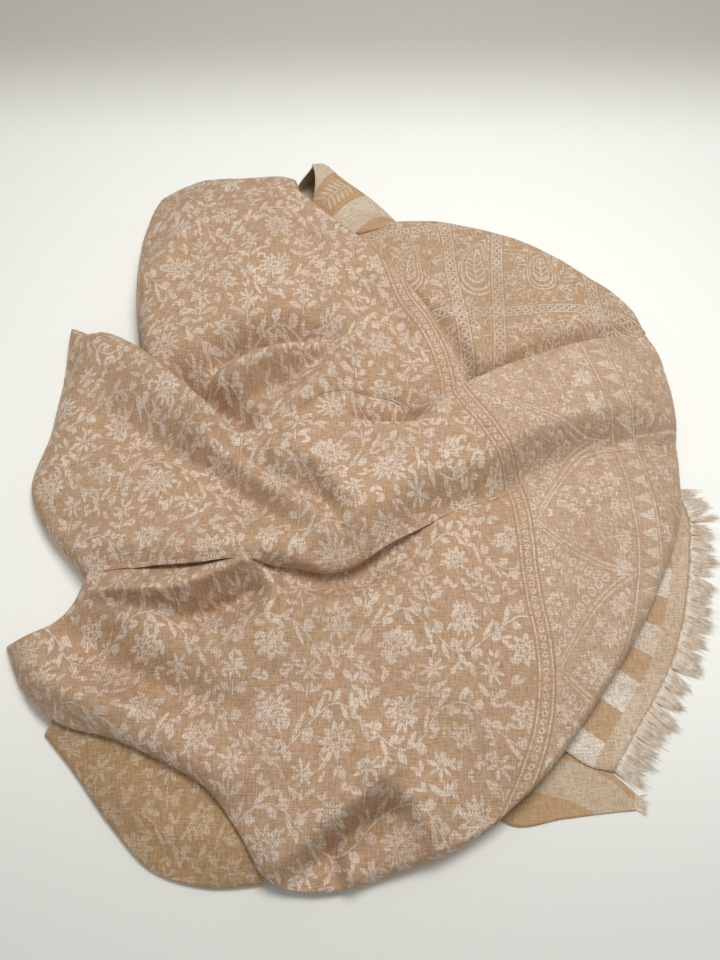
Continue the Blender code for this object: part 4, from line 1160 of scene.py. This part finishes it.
def paper_floor():
    """Level sheet of paper on a grid with z = 0. The paper is matt and uncoated, with no gloss and no grain to see.
    Painted shade greys its colour towards the back and darkens it a little towards the front."""
    reach = np.linspace(-FLOOR_REACH, FLOOR_REACH, FLOOR_LINES)
    x, y = np.meshgrid(reach, reach, indexing="ij")
    points = np.stack([x, y, 0 * x], axis=-1).reshape(-1, 3)
    made = finished_piece("floor", points, grid_faces(FLOOR_LINES, FLOOR_LINES))
    paper, tree, shader = blank_material("matt_paper", Roughness=0.9)
    back = put("SeparateXYZ", put("TexCoord", tree=tree).outputs["Object"]).outputs["Y"]
    # painted shade: the paper greys towards the back and darkens a little towards the front
    greyer = put("MapRange", back, *BACK_SHADE_FADE, 0, 1, interpolation_type="SMOOTHSTEP")
    front = put("MapRange", back, *FRONT_SHADE_FADE, 0, 1, interpolation_type="SMOOTHSTEP")
    paper_with_front_shade = put("MixRGB", front, linear("#E3E4DE"), linear("#FBFBF5"))
    tree.links.new(put("MixRGB", greyer, paper_with_front_shade, linear("#CBC8BD")).outputs[0], shader.inputs["Base Color"])
    made.data.materials.append(paper)


# ---------------------------------------------------------------- the dressed shawl

def place_piece(made, finish, slot, *nodes):
    """Gives a piece its material, lets it ride on the object and stands it in for its solids."""
    made.data.materials.append(finish)
    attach(made, "root")
    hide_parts(*nodes)
    return made


set_camera()
set_light()
paper_floor()

# Each cloth is the same pashmina twill, tan with a pale second yarn. Its colours are the dark and the light of its
# ground, then those of its figures.
# The field's flowers are pale and soft against a warm tan ground
FIELD = woven("pashmina_twill_field", field_figures, "#A68568", "#C9A888", "#CEBCA9", "#E6D8C9")
# The panel with the crossing borders has finer, greyer lines
CORNER = woven("pashmina_twill_corner", corner_figures, "#A68668", "#C8A886", "#CFC0AE", "#E4D8C9")
# Satin bars of the fringed end, where the pale yarn floats over the ground and looks almost white
END = woven("pashmina_satin_bars_end", banded_figures(0.0, 17.0), "#AE8D69", "#D0B18C", "#E0D9CC", "#F3EEE5")
# The same bars from their reverse at the tip and at the turned corner: greyer and with less contrast
TIP = woven("pashmina_satin_bars_tip", banded_figures(20.0, 0.0), "#B08E69", "#CAA87F", "#C4B59D", "#D8CAB5")
ROLLED = woven("pashmina_satin_bars_corner", banded_figures(0.0, 0.0, spray=True), "#AF8C66", "#C8A47C", "#C6B9A3",
               "#DACFBD")
# The field with painted shade, where the figures sink into a darker ground and dim, for the lower left layer, which
# lies in shade
SHADED_FIELD = woven("pashmina_twill_field_painted_shade", field_figures, "#9E7D58", "#BF9C76", "#BBA386", "#D2BEA3")
# Warp ends of worsted yarn without their weft, which look lighter than the cloth
YARN = yarn("worsted_warp_ends", "#F3DCC0", "#FCF2E4")
# the lower left layer takes the field with painted shade
FINISHES = {"lower_left_layer": SHADED_FIELD, "top_right_panel": CORNER, "fringed_end": END, "end_corner": TIP}
SLOTS = {"fringed_end": "banded_end", "end_corner": "banded_end"}

for key in STRETCHES:
    place_piece(shell(key), FINISHES.get(key, FIELD), SLOTS.get(key, "cloth"), key)
place_piece(turned_corner(), ROLLED, "banded_end", "back_corner")
stack = place_piece(folded_stack(), FIELD, "cloth", "hidden_layers")
end_strands = fringe("fringe_of_end", hem_run("fringed_end", HEM_PLACES), strands=2600, length=22.5, tuft=8.5,
                     level=4.1)
end_fringe = place_piece(end_strands, YARN, "fringe", "end_fringe")
corner_strands = fringe("fringe_of_corner", hem_run("end_corner", 8), strands=60, length=9.0, tuft=5.0, level=1.6)
corner_fringe = place_piece(corner_strands, YARN, "fringe", "corner_fringe")
